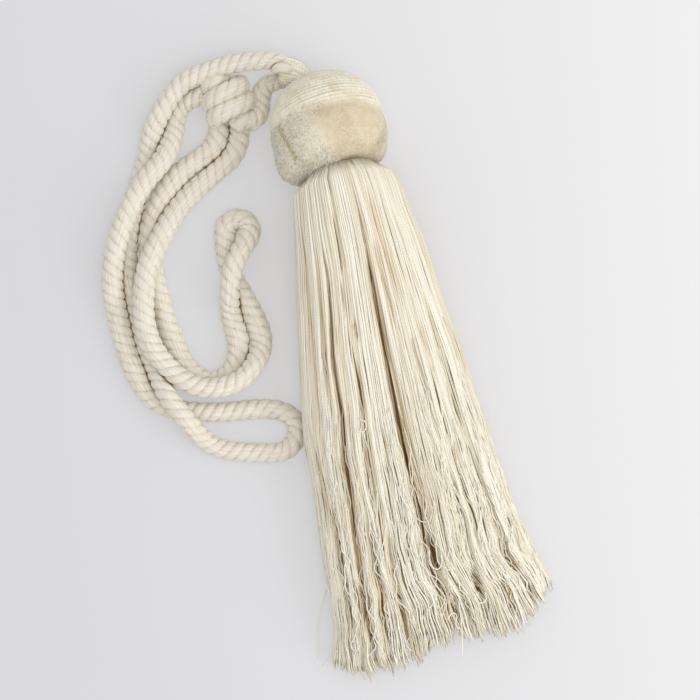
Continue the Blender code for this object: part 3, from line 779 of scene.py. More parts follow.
fibre_ball = build_material("fibre_ball", ("cap", "smooth", "crest"), (
    ("lay", "UVMap", {"uv_map": "lay"}),
    ("ticks", "Mapping", {"Scale": (1 / TICK_MM, 0.12, 1.0), "Vector": "lay.UV"}),
    ("covering", "TexNoise",
     {"Scale": 1.3, "Detail": 2.0, "Roughness": 0.6, "Vector": "ticks.Vector"}),
    ("place", "TexCoord"),
    ("fuzz", "TexNoise",
     {"Scale": 1500.0, "Detail": 3.0, "Roughness": 0.75, "Vector": "place.Object"}),
    ("cloud", "TexNoise", {"Scale": 110.0, "Detail": 2.0, "Vector": "place.Object"}),
    ("rough", "ValToRGB", {"stops": ((0.35, "E6DBBD"), (0.65, "FAF5E6")), "Fac": "fuzz.Fac"}),
    ("velvet", "ValToRGB", {"stops": ((0.30, "D6C6A2"), (0.70, "E4D9C2")), "Fac": "fuzz.Fac"}),
    ("rows", "ValToRGB",
     {"stops": ((0.34, "DED7C0"), (0.56, "F0ECDC")), "Fac": "covering.Fac"}),
    # painted shade: darker in the grooves between wound rows and along the parting
    ("grooves", "ValToRGB", {"stops": ((0.1, "D0C4A0"), (0.7, "FFFFFF")), "Fac": "crest.Fac"}),
    ("patches", "ValToRGB",
     {"stops": ((0.35, "F3EEE2"), (0.65, "FFFFFF")), "Fac": "cloud.Fac"}),
    ("pile", "Mix", {**BLEND, "Factor": "smooth.Fac", "A": "rough.Color", "B": "velvet.Color"}),
    ("whole", "Mix", {**BLEND, "Factor": "cap.Fac", "A": "pile.Result", "B": "rows.Color"}),
    ("grooved", "Mix", {**MULTIPLY, "A": "whole.Result", "B": "grooves.Color"}),
    ("patched", "Mix", {**MULTIPLY, "A": "grooved.Result", "B": "patches.Color"}),
    ("height", "Mix",
     {"data_type": "FLOAT", "Factor": "cap.Fac", "A": "fuzz.Fac", "B": "covering.Fac"}),
    ("relief", "Bump", {"Strength": 0.8, "Distance": 0.0006, "Height": "height.Result"}),
), {"Roughness": 0.85, "Sheen Weight": 0.35, "Base Color": "patched.Result",
    "Normal": "relief.Normal"})

# %% Rows and ground of the ball
BALL_STEPS, BALL_SIDES = 180, 260
BALL_POLES = 0.985            # how much of the way to its poles the grid goes
ROW_PITCH = 0.0023            # from one wound row to the next
ROW_HEIGHT = 0.0011
GROUND_UNEVEN = 0.0003
GROUND_GAP = 0.0003           # between the ball's ground and the table

latitude = np.linspace(BALL_POLES, -BALL_POLES, BALL_STEPS)[:, None] * np.pi / 2
longitude = round_turn(BALL_SIDES) + 0 * latitude
direction = ball_direction(latitude, longitude)
cap = wound(latitude, longitude)
row = np.abs(np.sin(np.pi * latitude * BALL_RADIUS / ROW_PITCH))
slow = ripples(10, 1.4, 1.1)(longitude, latitude)
deepness = np.clip(0.72 + 0.45 * ripples(8, 2.5, 0.16)(longitude, latitude), 0.3, 1.15)
parting = parted(BALL_CENTRE + direction * ball_reach(direction)[..., None])
reach = (ball_reach(direction) - PILE_LENGTH + GROUND_UNEVEN * slow - PARTING_DEPTH * parting
         + cap * (0.0002 + ROW_HEIGHT * deepness * (row ** 0.8 - 0.6)))
ball_points = BALL_CENTRE + direction * reach[..., None]
ball_points[..., 2] = np.maximum(ball_points[..., 2], GROUND_GAP)
# crest is low in the row grooves and on the parting, where the material paints shade
ball_values = {"cap": cap, "smooth": brushed(ball_points),
               "crest": 1 - cap * deepness * (1 - row ** 0.8) - parting}
ball_ground = put_tubes("ball_ground", ball_points[None], fibre_ball, ball_values, uv=(
    np.linspace(0, TURN * BALL_RADIUS * MM, BALL_SIDES + 1), latitude * BALL_RADIUS * MM))

# %% Cut pile
cut_pile = build_material("cut_rayon_pile", ("height", "tone", "smooth"), (
    # painted shade: a tuft is darker at its foot, between the tufts, and lightest at its tip
    ("standing", "ValToRGB",
     {"stops": ((0.0, "E8DDC0"), (0.40, "F9F4E7"), (1.0, "FFFFFE")), "Fac": "height.Fac"}),
    ("lying", "ValToRGB",
     {"stops": ((0.0, "D6C7A4"), (0.5, "E0D5BC"), (1.0, "E8DFCB")), "Fac": "height.Fac"}),
    ("tints", "ValToRGB",
     {"stops": ((0.0, "D8CBA8"), (0.30, "EFE7D3"), (0.60, "FDFBF5"), (1.0, "FFFFFF")),
      "Fac": "tone.Fac"}),
    ("pile", "Mix",
     {**BLEND, "Factor": "smooth.Fac", "A": "standing.Color", "B": "lying.Color"}),
    ("tinted", "Mix", {**MULTIPLY, "A": "pile.Result", "B": "tints.Color"}),
), {"Roughness": 0.6, "Sheen Weight": 0.8, "Base Color": "tinted.Result"})

# %% Tufts of pile
TUFTS = 30000
TUFT_WIDTH = 0.00036
TUFT_ROOT = 0.0001            # how far below the pile's ground a tuft starts
TUFT_LOW = 0.0005             # no tuft starts lower than this above the table
CLUMP = 0.0021                # tufts stand in clumps half this wide


def tufts(name, count):
    """Small four-faced tufts on the ball's pile: each has a three-cornered foot on the
    ground and a tip that leans. Brushed tufts lie down, rough ones stand on end."""
    latitude = np.arcsin(rng.uniform(-0.97, 0.12, count))
    longitude = rng.uniform(0, TURN, count)
    direction = ball_direction(latitude, longitude)
    ragged = latitude + 0.10 * clumps(direction * BALL_RADIUS, 0.009)
    border = wound(ragged - 0.05, longitude)
    foot = BALL_CENTRE + direction * (ball_reach(direction) - PILE_LENGTH - TUFT_ROOT)[:, None]
    keep = (rng.uniform(0, 1, count) > border) & (foot[:, 2] > TUFT_LOW)
    foot, direction, border = foot[keep], direction[keep], border[keep]
    count = len(foot)
    lying = brushed(foot)
    turn = rng.uniform(0, TURN, count)
    first = unit(np.cross(direction, unit(rng.normal(0, 1, (count, 3)))))
    second = np.cross(direction, first)
    split = parted(foot)
    lock = clumps(foot, CLUMP)
    hem = grows(-direction @ BALL_AXIS, 0.62, 0.82) * (1 - lying)      # longer at the foot
    # uneven in clumps, shorter where brushed, parted or next to the wound rows
    length = (PILE_LENGTH * (1.2 + 0.8 * lock * (1 - 0.6 * lying)) * rng.uniform(0.8, 1.4, count)
              * (1 - 0.4 * lying) * (1 - 0.5 * split) * (1 - 0.7 * border) * (1 + 1.2 * hem))
    comb = unit(-BALL_AXIS + 0.5 * rng.normal(0, 1, (count, 3)))
    lean = rng.normal(0, 0.35, (count, 3)) + comb * (0.35 + 1.1 * lying)[:, None]
    tip = foot + unit(direction + lean) * length[:, None]
    corners = [foot + TUFT_WIDTH * (first * np.cos(angle)[:, None]
                                    + second * np.sin(angle)[:, None])
               for angle in (turn + k * TURN / 3 for k in range(3))]
    points = np.stack((*corners, tip), axis=1)
    points[..., 2] = np.maximum(points[..., 2], TABLE_GAP)
    start = np.arange(count)[:, None] * 4
    faces = np.concatenate([start + np.array(corner) for corner in
                            ((0, 1, 3), (1, 2, 3), (2, 0, 3), (2, 1, 0))])
    tone = np.clip(0.55 + 0.5 * clumps(foot, CLUMP) * (1 - 0.75 * lying), 0, 1)
    tone = 0.25 * rng.uniform(0, 1, count) + 0.75 * tone
    # painted shade: tufts in the parting and round the hem under the ball are darker
    tone = tone * (1 - 0.9 * split) * (1 - 0.35 * hem)
    item = put_mesh(name, points.reshape(-1, 3), np.zeros((0, 4), int), cut_pile, extra=[faces],
                    values={"height": np.tile((0.0, 0.0, 0.0, 1.0), count),
                            "tone": np.repeat(tone, 4), "smooth": np.repeat(lying, 4)})
    # a tuft scatters light as the ball's surface does, so it takes the surface's normal
    lit = direction + 0.35 * lean + UPRIGHT * 0.5 * (1 - lying)[:, None]
    normals = np.repeat(unit(lit), 4, axis=0).astype(np.float32)
    item.data.normals_split_custom_set_from_vertices(normals)
    return item


stands_for("head", "cut_pile", ball_ground, tufts("ball_pile", TUFTS))

# %% [markdown]
# ## Skirt
#
# The skirt is a bundle of some thousands of rayon threads, doubled over a cord inside the
# ball and cut level at the bottom. Lying down, it spreads and parts into locks, with three
# deep clefts between them. It could be one carved solid with a bump, but its outline, its
# clefts and its cut ends are threads, so threads are modelled, far fewer and about twice as
# thick: each is a thin tube that keeps its place across the bundle from the ball to its
# end. Below them lies one shaded core, because nobody can look deeper than three or four
# threads.

# %% The skirt's section and its cut edge, in millimetres
# The same rows as in the frame's solid: distance down the tassel, left and right edges,
# height of its back, and height of its underside before the table flattens it.
SKIRT_ROWS = np.array((
    (32.7, -20, 24, 57, 17), (33.7, -24.8, 28.8, 59.2, 12), (35.2, -27, 30.8, 60.3, 9),
    (38, -28.3, 32, 60.8, 6.5), (41.5, -29.4, 33, 61, 4.5), (46, -30.3, 34.2, 61, 3.2),
    (58, -32.5, 35.5, 59.5, 1), (74, -35.8, 38.5, 57, -2), (90, -39.3, 40.3, 54.5, -5),
    (117, -44, 42.5, 50.5, -7.5), (145, -49, 46.2, 47, -9.5), (175, -54, 49, 44, -10.5),
    (205, -55.6, 51.5, 41.5, -11), (240, -58.2, 55.2, 39, -11), (265, -60, 60, 36.5, -11),
    (285, -62, 66.8, 33.5, -11), (300, -65.5, 68.2, 30, -10), (310, -68, 68.2, 26, -9),
)) / MM
# Where the threads are cut: place across, distance down.
SKIRT_ENDS = np.array((
    (-68, 303), (-61, 308), (-49, 313.5), (-36, 314.5), (-26, 316), (-17, 313.5), (-8, 310),
    (5, 307), (19, 310), (32, 310.5), (41, 308.5), (51, 301.5), (61, 293.5), (68.2, 287),
)) / MM
SKIRT_FROM = 0.1366
SKIRT_START = SKIRT_ROWS[0, 0]
SKIRT_POWER = 2.35
SKIRT_LEAN = 0.387            # the first sections lean back with the ball's underside
SKIRT_LEAN_END = 0.05
END_DROOP = 0.32              # how much lower the thin end lies than its section says
DROOP_FROM = 0.88             # the share of the length from which it does

# %% Clefts and partings, in millimetres
# The left, middle and right cleft: distance down, place across, reach to the left and to
# the right, depth, and how far the threads on each side are drawn apart.
CLEFTS = [np.array(rows) / MM for rows in (
    ((60, -18, 0.8, 0.9, 0, 0), (84, -19.9, 1, 1.2, 1.8, 0.4), (107, -23.2, 1, 1.4, 2.6, 0.5),
     (132, -27.7, 1.2, 1.5, 3.2, 0.5), (165, -30.5, 1.2, 1.6, 3.7, 0.7),
     (188, -34.6, 1.4, 1.7, 4.2, 0.9), (224, -37.2, 1.5, 1.9, 4.3, 0.9),
     (259, -40.2, 1.5, 1.9, 4.2, 0.9), (293, -43, 1.7, 1.9, 3.8, 1),
     (315, -43, 1.7, 1.9, 2.9, 0.7)),
    ((34, 5.1, 0.8, 0.7, 0.6, 0), (60, 6.2, 0.8, 1.1, 1.5, 0.2), (103, 4.6, 1, 1.6, 2.6, 0.5),
     (136, 2.7, 1, 3.5, 3.5, 0.6), (170, 1.5, 1.2, 5.6, 4.1, 0.8),
     (200, 1.1, 1.4, 6.8, 4.6, 1), (225, 1.2, 1.4, 8, 4.7, 1.2),
     (247, -0.5, 1.4, 7.2, 4.6, 1.2), (268, 0.6, 1.4, 4.8, 4.2, 0.8),
     (290, 6, 1.5, 2.1, 3.3, 0.6), (314, 7.1, 1.5, 1.6, 2.6, 0.5)),
    ((85, 29, 0.8, 0.7, 0, 0), (115, 32.2, 0.8, 1.1, 1.8, 0.3), (149, 34.9, 1, 1.4, 2.4, 0.4),
     (176, 36.4, 1, 1.4, 2.7, 0.4), (209, 39.5, 1.2, 1.5, 3.2, 0.4),
     (237, 43, 1.4, 1.6, 3.5, 0.5), (261, 44, 1.4, 1.6, 3.5, 0.6),
     (290, 54.5, 1.4, 1.6, 3.2, 0.5), (310, 58, 1.4, 1.6, 2.4, 0.2)),
)]
# Smaller partings: from down, across, to down, across, then reach, depth and opening.
PARTINGS = np.array((
    (80, 5.2, 160, 1.4, 0.8, 3, 0.3), (150, 1.6, 240, -0.2, 0.9, 3.4, 0.3),
    (52, -9, 86, -11, 1.3, 1.8, 0.4), (88, -12.5, 110, -15, 1.4, 1.8, 0.3),
    (60, -29, 170, -45, 2, 2.7, 0.3), (74, -23.5, 160, -37, 1.6, 2.4, 0.3),
    (112, -10.5, 126, -11.2, 1.5, 2.1, 0.5), (136, -14.5, 172, -19, 1.6, 2.4, 0.4),
    (45, 13, 110, 18.5, 1.8, 2.1, 0.1), (70, 9, 118, 12, 1.6, 2.1, 0.1),
    (120, 25.5, 150, 27.5, 1.4, 1.8, 0.2), (130, 19, 190, 22.5, 1.6, 1.9, 0.2),
    (160, 41.5, 200, 43, 1.4, 2.1, 0.3), (176, -20.5, 222, -23.5, 1.8, 2.7, 0.4),
    (180, -9, 225, -13, 1.6, 1.9, 0.2), (165, -50, 240, -51, 2, 3, 0.4),
    (215, -48, 290, -52, 2, 3.8, 1), (226, -29, 300, -33, 2, 3.6, 0.8),
    (232, -18, 300, -23, 1.8, 3.4, 0.8), (190, 29, 262, 30, 1.6, 1.9, 0.3),
    (205, 23, 300, 26, 1.8, 2.6, 0.6), (270, 14, 305, 15, 1.8, 3.4, 1),
    (262, 38, 300, 41, 1.6, 3, 0.9), (240, 50, 275, 56, 1.6, 2.6, 0.6),
    (262, -43, 286, -43.7, 1.6, 6, 1.6), (244, 2, 266, 3.6, 2.2, 6, 1.8),
    (279, 8.8, 297, 9.8, 1.8, 5, 1.4), (268, 24, 286, 25.2, 1.4, 4.6, 1.2),
    (256, 45.5, 276, 48.2, 1.4, 4.4, 1), (285, 54.2, 301, 56, 1.3, 4, 1),
)) / MM
PUSH_REACH = 0.0035           # how far to the side of a cleft threads are drawn apart


# %% Shape of the skirt
def rows_at(down):
    """The left edge, the right edge, the crest and the underside at a distance down."""
    return [np.interp(down, SKIRT_ROWS[:, 0], SKIRT_ROWS[:, k]) for k in range(1, 5)]


def outline(down, angle):
    """The section's outline without clefts: a squarish oval from the rows. Gives the place
    across, the height, and the outward normal's two parts."""
    left, right, crest, under = rows_at(down)
    across_part = signed_power(np.cos(angle), 2 / SKIRT_POWER)
    height_part = signed_power(np.sin(angle), 2 / SKIRT_POWER)
    half, rise = (right - left) / 2, (crest - under) / 2
    across = (left + right) / 2 + half * across_part
    height = (crest + under) / 2 + rise * height_part
    normal = unit(np.stack((signed_power(across_part, SKIRT_POWER - 1) / half,
                            signed_power(height_part, SKIRT_POWER - 1) / rise), axis=-1))
    return across, height, normal


def leaned(down, height):
    """The place along the tassel, with the first sections leaning back."""
    fade = (1 - grows(down, SKIRT_START, SKIRT_START + SKIRT_LEAN_END)) ** 2
    return SKIRT_FROM - down + SKIRT_LEAN * fade * (height - BALL_CENTRE[2])


def drooped(share):
    """What is left of the height towards the cut end, where nothing holds the threads up."""
    return 1 - END_DROOP * grows(share, DROOP_FROM, 1) ** 1.6


def cut_edge(across):
    """How far down the threads are cut at a place across."""
    return np.interp(across, SKIRT_ENDS[:, 0], SKIRT_ENDS[:, 1])


def follow_clefts(down, across):
    """The place across after the whole bundle is bent so that the clefts' own lines become
    lines of threads: between clefts the shift changes evenly."""
    left, right, _, _ = rows_at(down)
    share = (across - left) / (right - left)
    knots, moves = [0.0], [np.zeros_like(down)]
    for rows in CLEFTS:
        low, high, _, _ = rows_at(rows[:, 0])
        shares = (rows[:, 1] - low) / (high - low)
        knots.append(shares.mean())
        moves.append(np.interp(down, rows[:, 0], shares) - shares.mean())
    knots.append(1.0)
    moves.append(np.zeros_like(down))
    shift = np.zeros_like(share)
    for low, high, first, second in zip(knots[:-1], knots[1:], moves[:-1], moves[1:]):
        inside = (share >= low) & (share < high)
        shift = np.where(inside, first + (second - first) * grows(share, low, high), shift)
    return (share + shift) * (right - left) + left


def sink(down, across):
    """How deep the clefts and partings are at a place, and how far they push a thread
    aside: each is a dip whose two banks have their own reach."""
    depth = np.zeros_like(across)
    push = np.zeros_like(across)
    for rows in CLEFTS:
        middle, near, far, deep, gap = (np.interp(down, rows[:, 0], rows[:, k])
                                        for k in range(1, 6))
        off = across - middle
        fade = grows(down, rows[0, 0], rows[1, 0])
        depth += fade * deep * np.exp(-np.abs(off / np.where(off < 0, near, far)) ** 2.5)
        push += fade * gap * np.sign(off) * np.exp(-np.abs(off) / PUSH_REACH)
    for down_a, across_a, down_b, across_b, reach, deep, gap in PARTINGS:
        part = (down - down_a) / (down_b - down_a)
        lens = np.sqrt(np.clip(4 * part * (1 - part), 0, 1))
        off = across - (across_a + (across_b - across_a) * part)
        depth += lens * deep * np.exp(-(off / reach) ** 2)
        push += lens * gap * np.sign(off) * np.exp(-np.abs(off) / PUSH_REACH)
    return depth, push


# %% [markdown]
# ### Threads
#
# A thread is a number between 0 and 1, its place round the bundle. Its line is the section's
# outline at that place, followed down the skirt. What makes it real is what is added to the
# line: the pull towards the middle of its lock, the clefts, slow ripples that neighbours
# share, and a wander of its own that grows towards the cut end, where nothing holds it.

# %% Locks and places
EDGE_LEFT, EDGE_RIGHT = math.radians(232), math.radians(-52)
HALF_WAY, REACH_AT = 0.17, 0.30           # sections that places and cut ends are measured in
LOCKS = 29
LOCK_EDGES = np.concatenate(([0.0], np.cumsum(rng.uniform(0.6, 1.4, LOCKS))))
LOCK_EDGES = LOCK_EDGES / LOCK_EDGES[-1]
CRACK_STARTS = rng.uniform(0, 1, LOCKS)
CRACK_LENGTHS = rng.uniform(0.05, 0.13, LOCKS)
# How far down the skirt the threads begin to be loose, and are wholly so.
LOOSE_FROM, LOOSE_TO = 0.05, 0.31
CRIMP_FROM, CRIMP_TO = 0.18, 0.28         # the same for their short crimp
LOCK_DRIFT = 0.006            # how far a lock's edges wander, as a share of the bundle
LOCK_CRIMP = 0.0008
# These grow down the skirt: first the value at the ball, then what is added by the end.
BACK_LENGTH = (0.16, 0.05)    # the outline's length round the back
LOCK_DRAW = (0.10, 0.08)      # how much a lock's threads draw together
LOCK_DROP = (0.0002, 0.0006)  # how far a lock's edges sink
LOCK_BEND = (0.0002, 0.0012)  # how far whole locks swing aside
LOCK_RISE = (0.0002, 0.0007)  # and up and down
CRACK_OPEN = (0.25, 0.75)     # how far the cracks between locks open
CALM, FLAT = 0.6, 0.8         # how much of this is missing where the threads are one sheet
STEADY_WANDER = 0.0003        # a thread's own wander where it is held
SWINGS, CRINKLES, RISES = (0.11, 0.05), (0.017, 0.012), (0.07, 0.03)      # its wavelengths
CRINKLE, RISE = 0.35, 0.25    # what the small crinkles, and the wander up and down, amount to
END_SHORT = 0.0022            # how far above the cut edge an average thread ends
# Fields that all layers of threads share, so that whole locks bend and rise together: how
# many waves, and about how long they are round the bundle and down it.
lock_drift = ripples(5, 0.12, 0.12)
lock_bend = ripples(8, 0.06, 0.09)
lock_crimp = ripples(10, 0.11, 0.036)
lock_rise = ripples(8, 0.05, 0.07)


def own_wander(count, down, lengths):
    """For each thread its own mix of waves down the skirt, of the given wavelengths."""
    total = np.zeros(down.shape)
    for length in lengths:
        pitch = length * rng.uniform(0.7, 1.4, (count, 1))
        total += wave(down / pitch + rng.uniform(0, 1, (count, 1)))
    return total / len(lengths)


def place_to_angle(place):
    """From a place round the bundle, 0 at the left and 1 at the right, to the section's
    angle, so that equal places are equal lengths of the outline half way down."""
    angles = np.linspace(EDGE_LEFT, EDGE_RIGHT, 241)
    across, height, _ = outline(HALF_WAY, angles)
    steps = np.hypot(np.diff(across), np.diff(np.maximum(height, 0)))
    arc = np.concatenate(([0.0], np.cumsum(steps)))
    return np.interp(place, arc / arc[-1], angles)


def evenness(place):
    """1 for threads at the skirt's right, which lie side by side in one sheet, and 0 at
    the left, where they hang in separate locks."""
    return grows(place[:, None], 0.60, 0.85)


# %% Lines of the threads
def thread_lines(place, layer, reach, share, wildness, parting=1.0):
    """Middle lines of threads, and how deep each point lies under the bundle's back.
    place and layer give each thread's home, reach its length, share the stations, and
    parting how much of the clefts' opening it follows. In the sums, loose grows from 0 at
    the ball to 1 at the end."""
    count, column = len(place), place[:, None]
    down = SKIRT_START + share * (reach[:, None] - SKIRT_START)
    loose = grows(down, LOOSE_FROM, LOOSE_TO)

    def growing(at_ball, added, power=1.0):
        """A value that grows as the threads get loose."""
        return at_ball + added * loose ** power

    across, height, normal = outline(down, place_to_angle(place)[:, None])
    across = follow_clefts(down, across)

    # the lock: its threads draw together and its edges sink
    drift = column + LOCK_DRIFT * loose * lock_drift(column, down)
    lock = np.clip(np.searchsorted(LOCK_EDGES, drift) - 1, 0, LOCKS - 1)
    width = LOCK_EDGES[lock + 1] - LOCK_EDGES[lock]
    phase = (drift - LOCK_EDGES[lock]) / width
    sheet = evenness(place)
    draw = growing(*LOCK_DRAW) * (1 - CALM * sheet)
    slide = draw * width * growing(*BACK_LENGTH) / TURN * wave(phase)
    opened = wave(down / CRACK_LENGTHS[lock] + CRACK_STARTS[lock])
    opened = np.clip(opened, 0, 1) * growing(*CRACK_OPEN)
    drop = (growing(*LOCK_DROP) * (1 - FLAT * sheet) * np.abs(2 * phase - 1) ** 2.2
            * (0.5 + opened))

    # the clefts, then ripples and the thread's own wander
    depth, push = sink(down, across)
    sunk = depth * np.clip(normal[..., 1], 0, 1)
    wild = growing(STEADY_WANDER, wildness, 2)
    slide = (slide + parting * push
             + growing(*LOCK_BEND, 1.5) * lock_bend(column, down)
             + LOCK_CRIMP * grows(down, CRIMP_FROM, CRIMP_TO) * lock_crimp(column, down)
             + wild * own_wander(count, down, SWINGS)
             + CRINKLE * wild * own_wander(count, down, CRINKLES) * loose)
    deeper = (layer + drop + sunk
              + (1 - CALM * sheet) * (growing(*LOCK_RISE) * lock_rise(column, down)
                                      + RISE * wild * own_wander(count, down, RISES)))
    x = across + normal[..., 1] * slide - normal[..., 0] * deeper
    z = (height - normal[..., 0] * slide - normal[..., 1] * deeper) * drooped(share)
    return np.stack((x, leaned(down, z), z), axis=-1), sunk + drop + layer


def thread_reach(place, spread):
    """How far down each thread ends: the skirt's cut edge and a little of its own."""
    across, _, _ = outline(REACH_AT, place_to_angle(place))
    return cut_edge(across) - END_SHORT + rng.normal(0, spread, len(place))


# %% Laying the threads
THREAD_RADIUS = 0.00056
FULL_DEPTH = 0.0070           # where a thread's painted shade is at its darkest
skirt_pieces = []


def thread_values(deep, place, share):
    """The numbers for a thread's colour: the painted shade of its depth, which counts for less
    towards the open end, and least at the right, a tone of its own, and how much painted
    shade its flanks take where the threads lie tightly together."""
    fade = np.clip(0.35 + 0.75 * place[:, None], 0, 1)
    return {"deep": np.clip(deep / FULL_DEPTH, 0, 1) * (1 - fade * share),
            "tone": rng.uniform(0, 1, (len(place), 1)),
            "packed": 1 - 0.8 * np.clip(1.6 * (share - 0.15), 0, 1) + 0 * deep}


def lay_threads(names, sides, place, layer, reach, share, wildness, thickness, parting=1.0,
                shading=1.0):
    """Lays threads as one piece for each name. thickness gives the thinnest and thickest of
    them, as a share of a thread's radius, and how much they narrow towards the end, and at
    the right widen. shading is how much painted shade their colour takes from their depth."""
    lines, deep = thread_lines(place, layer, reach, share, wildness, parting)
    thinnest, thickest, narrows, widens = thickness
    radius = (THREAD_RADIUS * rng.uniform(thinnest, thickest, (len(place), 1))
              * (1 - narrows * share + widens * share * evenness(place))
              * np.clip((1 - share) * 80, 0.7, 1))      # the very tip is a little thinner
    values = thread_values(deep * shading, place, share)
    for name, part in zip(names, np.split(np.arange(len(place)), len(names))):
        skirt_pieces.append(lay_tubes(name, lines[part], radius[part], sides,
                                      {key: number[part] for key, number in values.items()}))


# %% Threads on the back of the skirt
# Where the bundle is narrow, near the ball, only some of these threads are on top. The
# others come up between them as it spreads, so the spacing stays the same all the way.
TOP_THREADS = 190
STATIONS = 56
SHORT_BY = 0.012              # one thread in ten is this much shorter
RISE_DEPTH = 0.0010           # how deep a thread lies before it comes up
LAYER_SPREAD = 0.00018
RISE_ENDS = np.array((0.001, 0.85, 0.001, 0.45, 0.001))   # in turn, where each is on top

along = np.linspace(0, 1, STATIONS)[None, :]
share = 0.75 * along + 0.25 * (1 - (1 - along) ** 2)        # closer together at the end
place = (np.arange(TOP_THREADS) + rng.uniform(0.3, 0.7, TOP_THREADS)) / TOP_THREADS
rise_end = RISE_ENDS[np.arange(TOP_THREADS) % 5][:, None]
layer = (RISE_DEPTH * np.clip(1 - share / rise_end, 0, 1)
         + rng.normal(0, LAYER_SPREAD, (TOP_THREADS, 1)))
reach = thread_reach(place, 0.0022)
reach = reach - SHORT_BY * (rng.uniform(0, 1, TOP_THREADS) > 0.9)
lay_threads(["skirt_top_threads"], 5, place, np.maximum(layer, 0), reach, share,
            wildness=0.0004, thickness=(0.88, 1.12, 0.12, 0.30))

# %% Threads below them
LOWER_THREADS = 640
place = rng.uniform(0.004, 0.996, LOWER_THREADS)
layer = rng.uniform(0.0001, 0.0009, (LOWER_THREADS, 1))
lay_threads(["skirt_lower_threads_a", "skirt_lower_threads_b"], 3, place, layer,
            thread_reach(place, 0.003), share, wildness=0.0009,
            thickness=(0.68, 0.90, 0.0, 0.25), parting=0.85)

# %% [markdown]
# ### Core and cut ends
#
# The core is the section's outline again, a little smaller and closed, so that no light
# passes between the threads. It stops short of the ends, and a few hundred short threads
# come out of it, so that the cut end is a brush and not a flat face. Its colour is painted
# shade for the threads that lie in shade below: tan, and brown in the clefts, with fine
# streaks for the threads that aren't modelled.

# %% Shaded core
core_rayon = build_material("shaded_rayon_core", ("cleft",), (
    ("place", "TexCoord"),
    ("stretched", "Mapping", {"Scale": (900.0, 12.0, 300.0), "Vector": "place.Object"}),
    ("streaks", "TexNoise", {"Scale": 1.0, "Detail": 2.0, "Vector": "stretched.Vector"}),
    ("streaked", "ValToRGB",
     {"stops": ((0.35, "D8CDB4"), (0.65, "FFFFFF")), "Fac": "streaks.Fac"}),
    # painted shade: the core is browner the deeper it lies in a cleft
    ("sunk", "ValToRGB",
     {"stops": ((0.0, "DCC9A0"), (0.45, "B79A66"), (1.0, "86673B")), "Fac": "cleft.Fac"}),
    ("colour", "Mix", {**MULTIPLY, "A": "streaked.Color", "B": "sunk.Color"}),
), {"Roughness": 0.9, "Base Color": "colour.Result"})

# %% Core of the skirt
CORE_SIDES, CORE_STATIONS = 180, 90
CORE_INSET, CORE_TAPER = 0.0023, 0.0012   # how much smaller it is, and more at its end
CORE_STOP = 0.955             # where it stops, as a share of the way to the cut edge
CORE_DARKEST = 0.0040         # depth of a cleft in which no light is left

angles = round_turn(CORE_SIDES)
core_share = np.linspace(0, CORE_STOP, CORE_STATIONS)[:, None]
core_reach = cut_edge(outline(REACH_AT, angles)[0])
core_down = SKIRT_START + core_share * (core_reach - SKIRT_START)
across, height, normal = outline(core_down, angles + 0 * core_share)
across = follow_clefts(core_down, across)
sunk = sink(core_down, across)[0] * np.clip(normal[..., 1], 0, 1)
inward = CORE_INSET + sunk + CORE_TAPER * core_share
core_height = (height - normal[..., 1] * inward) * drooped(core_share)
core_points = np.stack((across - normal[..., 0] * inward, leaned(core_down, core_height),
                        np.maximum(core_height, TABLE_GAP)), axis=-1)
skirt_pieces.append(put_tubes("skirt_core", core_points[None], core_rayon,
                              {"cleft": np.clip(sunk / CORE_DARKEST, 0, 1)}))

# %% Cut ends
ENDS = 600
place = rng.uniform(0.02, 0.98, ENDS)
end_share = 0.80 + 0.20 * np.linspace(0, 1, 18)[None, :]
layer = rng.uniform(0.0006, 0.013, (ENDS, 1))
lay_threads(["skirt_cut_ends"], 3, place, layer, thread_reach(place, 0.0028), end_share,
            wildness=0.0017, thickness=(0.6, 0.85, 0.0, 0.0), shading=0.7)

# %% Crossing threads
# Some threads have worked loose: they wander across the others in the lower half.
CROSSING = 170
STRAY_RADIUS = 0.00036
STRAY_STATIONS = 60
STRAY_STEP = 0.0001
STRAY_LIFT = 0.0006           # how far above the skirt's back a stray thread lies
CROSS_FROM = (0.35, 0.72)     # where crossing threads begin, as a share of the skirt
CROSS_RUN = 0.28              # and how much of it they run along

run = np.linspace(0, 1, STRAY_STATIONS)[None, :]
stray_radius = STRAY_RADIUS * np.clip((1 - np.abs(2 * run - 1)) * 30, 0.4, 1)
cross_share = rng.uniform(*CROSS_FROM, (CROSSING, 1)) + run * CROSS_RUN
place = 0.06 + 0.88 * rng.uniform(0, 1, CROSSING) ** 0.6       # more of them at the right
lines, deep = thread_lines(place, -0.0004, thread_reach(place, 0.003), cross_share,
                           wildness=0.0062)
skirt_pieces.append(lay_tubes("skirt_crossing_threads", lines, stray_radius, 4,
                              thread_values(0 * deep, place, cross_share)))

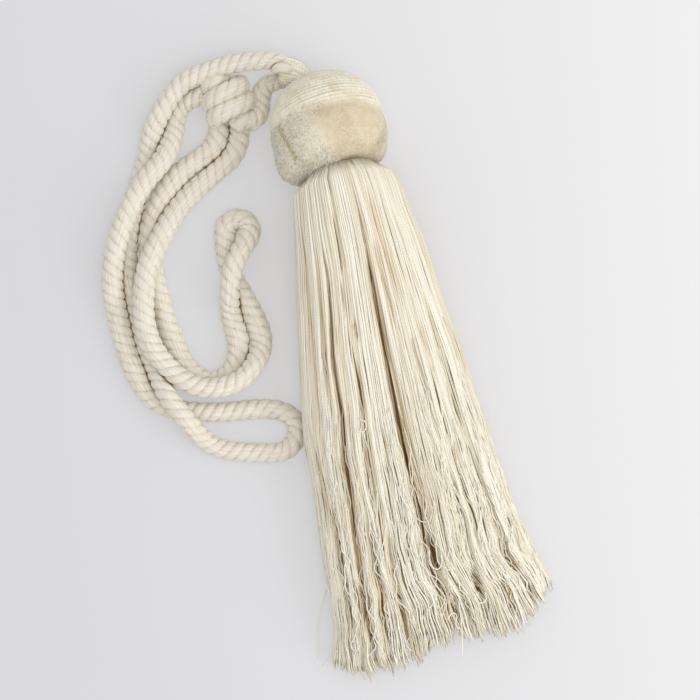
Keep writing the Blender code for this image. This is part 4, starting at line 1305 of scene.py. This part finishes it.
# %% Snagged loops and strays
# A few threads are snagged into small loops, and two or three lie on the table. Each row
# is one thread's places: down the tassel and across, in millimetres.
STRAYS = (
    ((248.4, -52.8), (257.8, -58.5), (269.2, -65.4), (285.2, -72.2), (302.4, -75)),
    ((297.9, -63.4), (301.7, -67.8), (307, -74.5)),
    ((285.5, 11.6), (300, 10), (317, 6.6)),
    ((252.7, -27.2), (266.2, -25.6), (283, -24.8), (293.4, -26)),
    ((172.3, -24.6), (175.6, -23), (177, -19.8), (174.5, -17.4), (171.4, -17.9), (169.5, -21)),
    ((230, -1.7), (233.2, -0.7), (235.7, 2.3), (235.4, 5.9), (232.2, 7.9)),
    ((252.2, 1.5), (258, 0.7), (262.3, 1.5), (264.1, 4.1), (261.2, 7.1), (256, 7.7)),
    ((294.3, 3), (291, 6.8), (293.2, 8.6), (297.6, 7), (301, 8.6)),
    ((187.8, -50.2), (191, -52.1), (194.6, -51.8), (194, -49.3)),
    ((282.5, 24.2), (285.4, 21.1), (288.9, 23.3), (288, 27.1), (283.4, 27.6)),
)


def back_height(down, across):
    """How high the skirt's back is at a place, and the table's height beside it."""
    left, right, crest, under = rows_at(down)
    part = np.abs((across - (left + right) / 2) / ((right - left) / 2))
    arch = np.clip(1 - part ** SKIRT_POWER, 0, 1) ** (1 / SKIRT_POWER)
    return np.where(part < 1, (crest + under) / 2 + (crest - under) / 2 * arch, 0.0)


stray_lines = []
for stray in STRAYS:
    route = smooth_curve(np.array([(*point, 0.0) for point in stray]) / MM)
    curve, _ = even_steps(route, STRAY_STEP)
    curve = curve[np.linspace(0, len(curve) - 1, STRAY_STATIONS).astype(int)]
    down, across = curve[:, 0], curve[:, 1]
    height = np.maximum(back_height(down, across) + STRAY_LIFT, STRAY_RADIUS)
    stray_lines.append(np.stack((across, leaned(down, height), height), axis=-1))
flat = np.zeros((len(STRAYS), STRAY_STATIONS))
skirt_pieces.append(lay_tubes("skirt_stray_threads", np.array(stray_lines),
                              stray_radius + flat, 6, thread_values(flat, flat[:, 0], 0)))
stands_for("skirt", "rayon_yarn", *skirt_pieces)
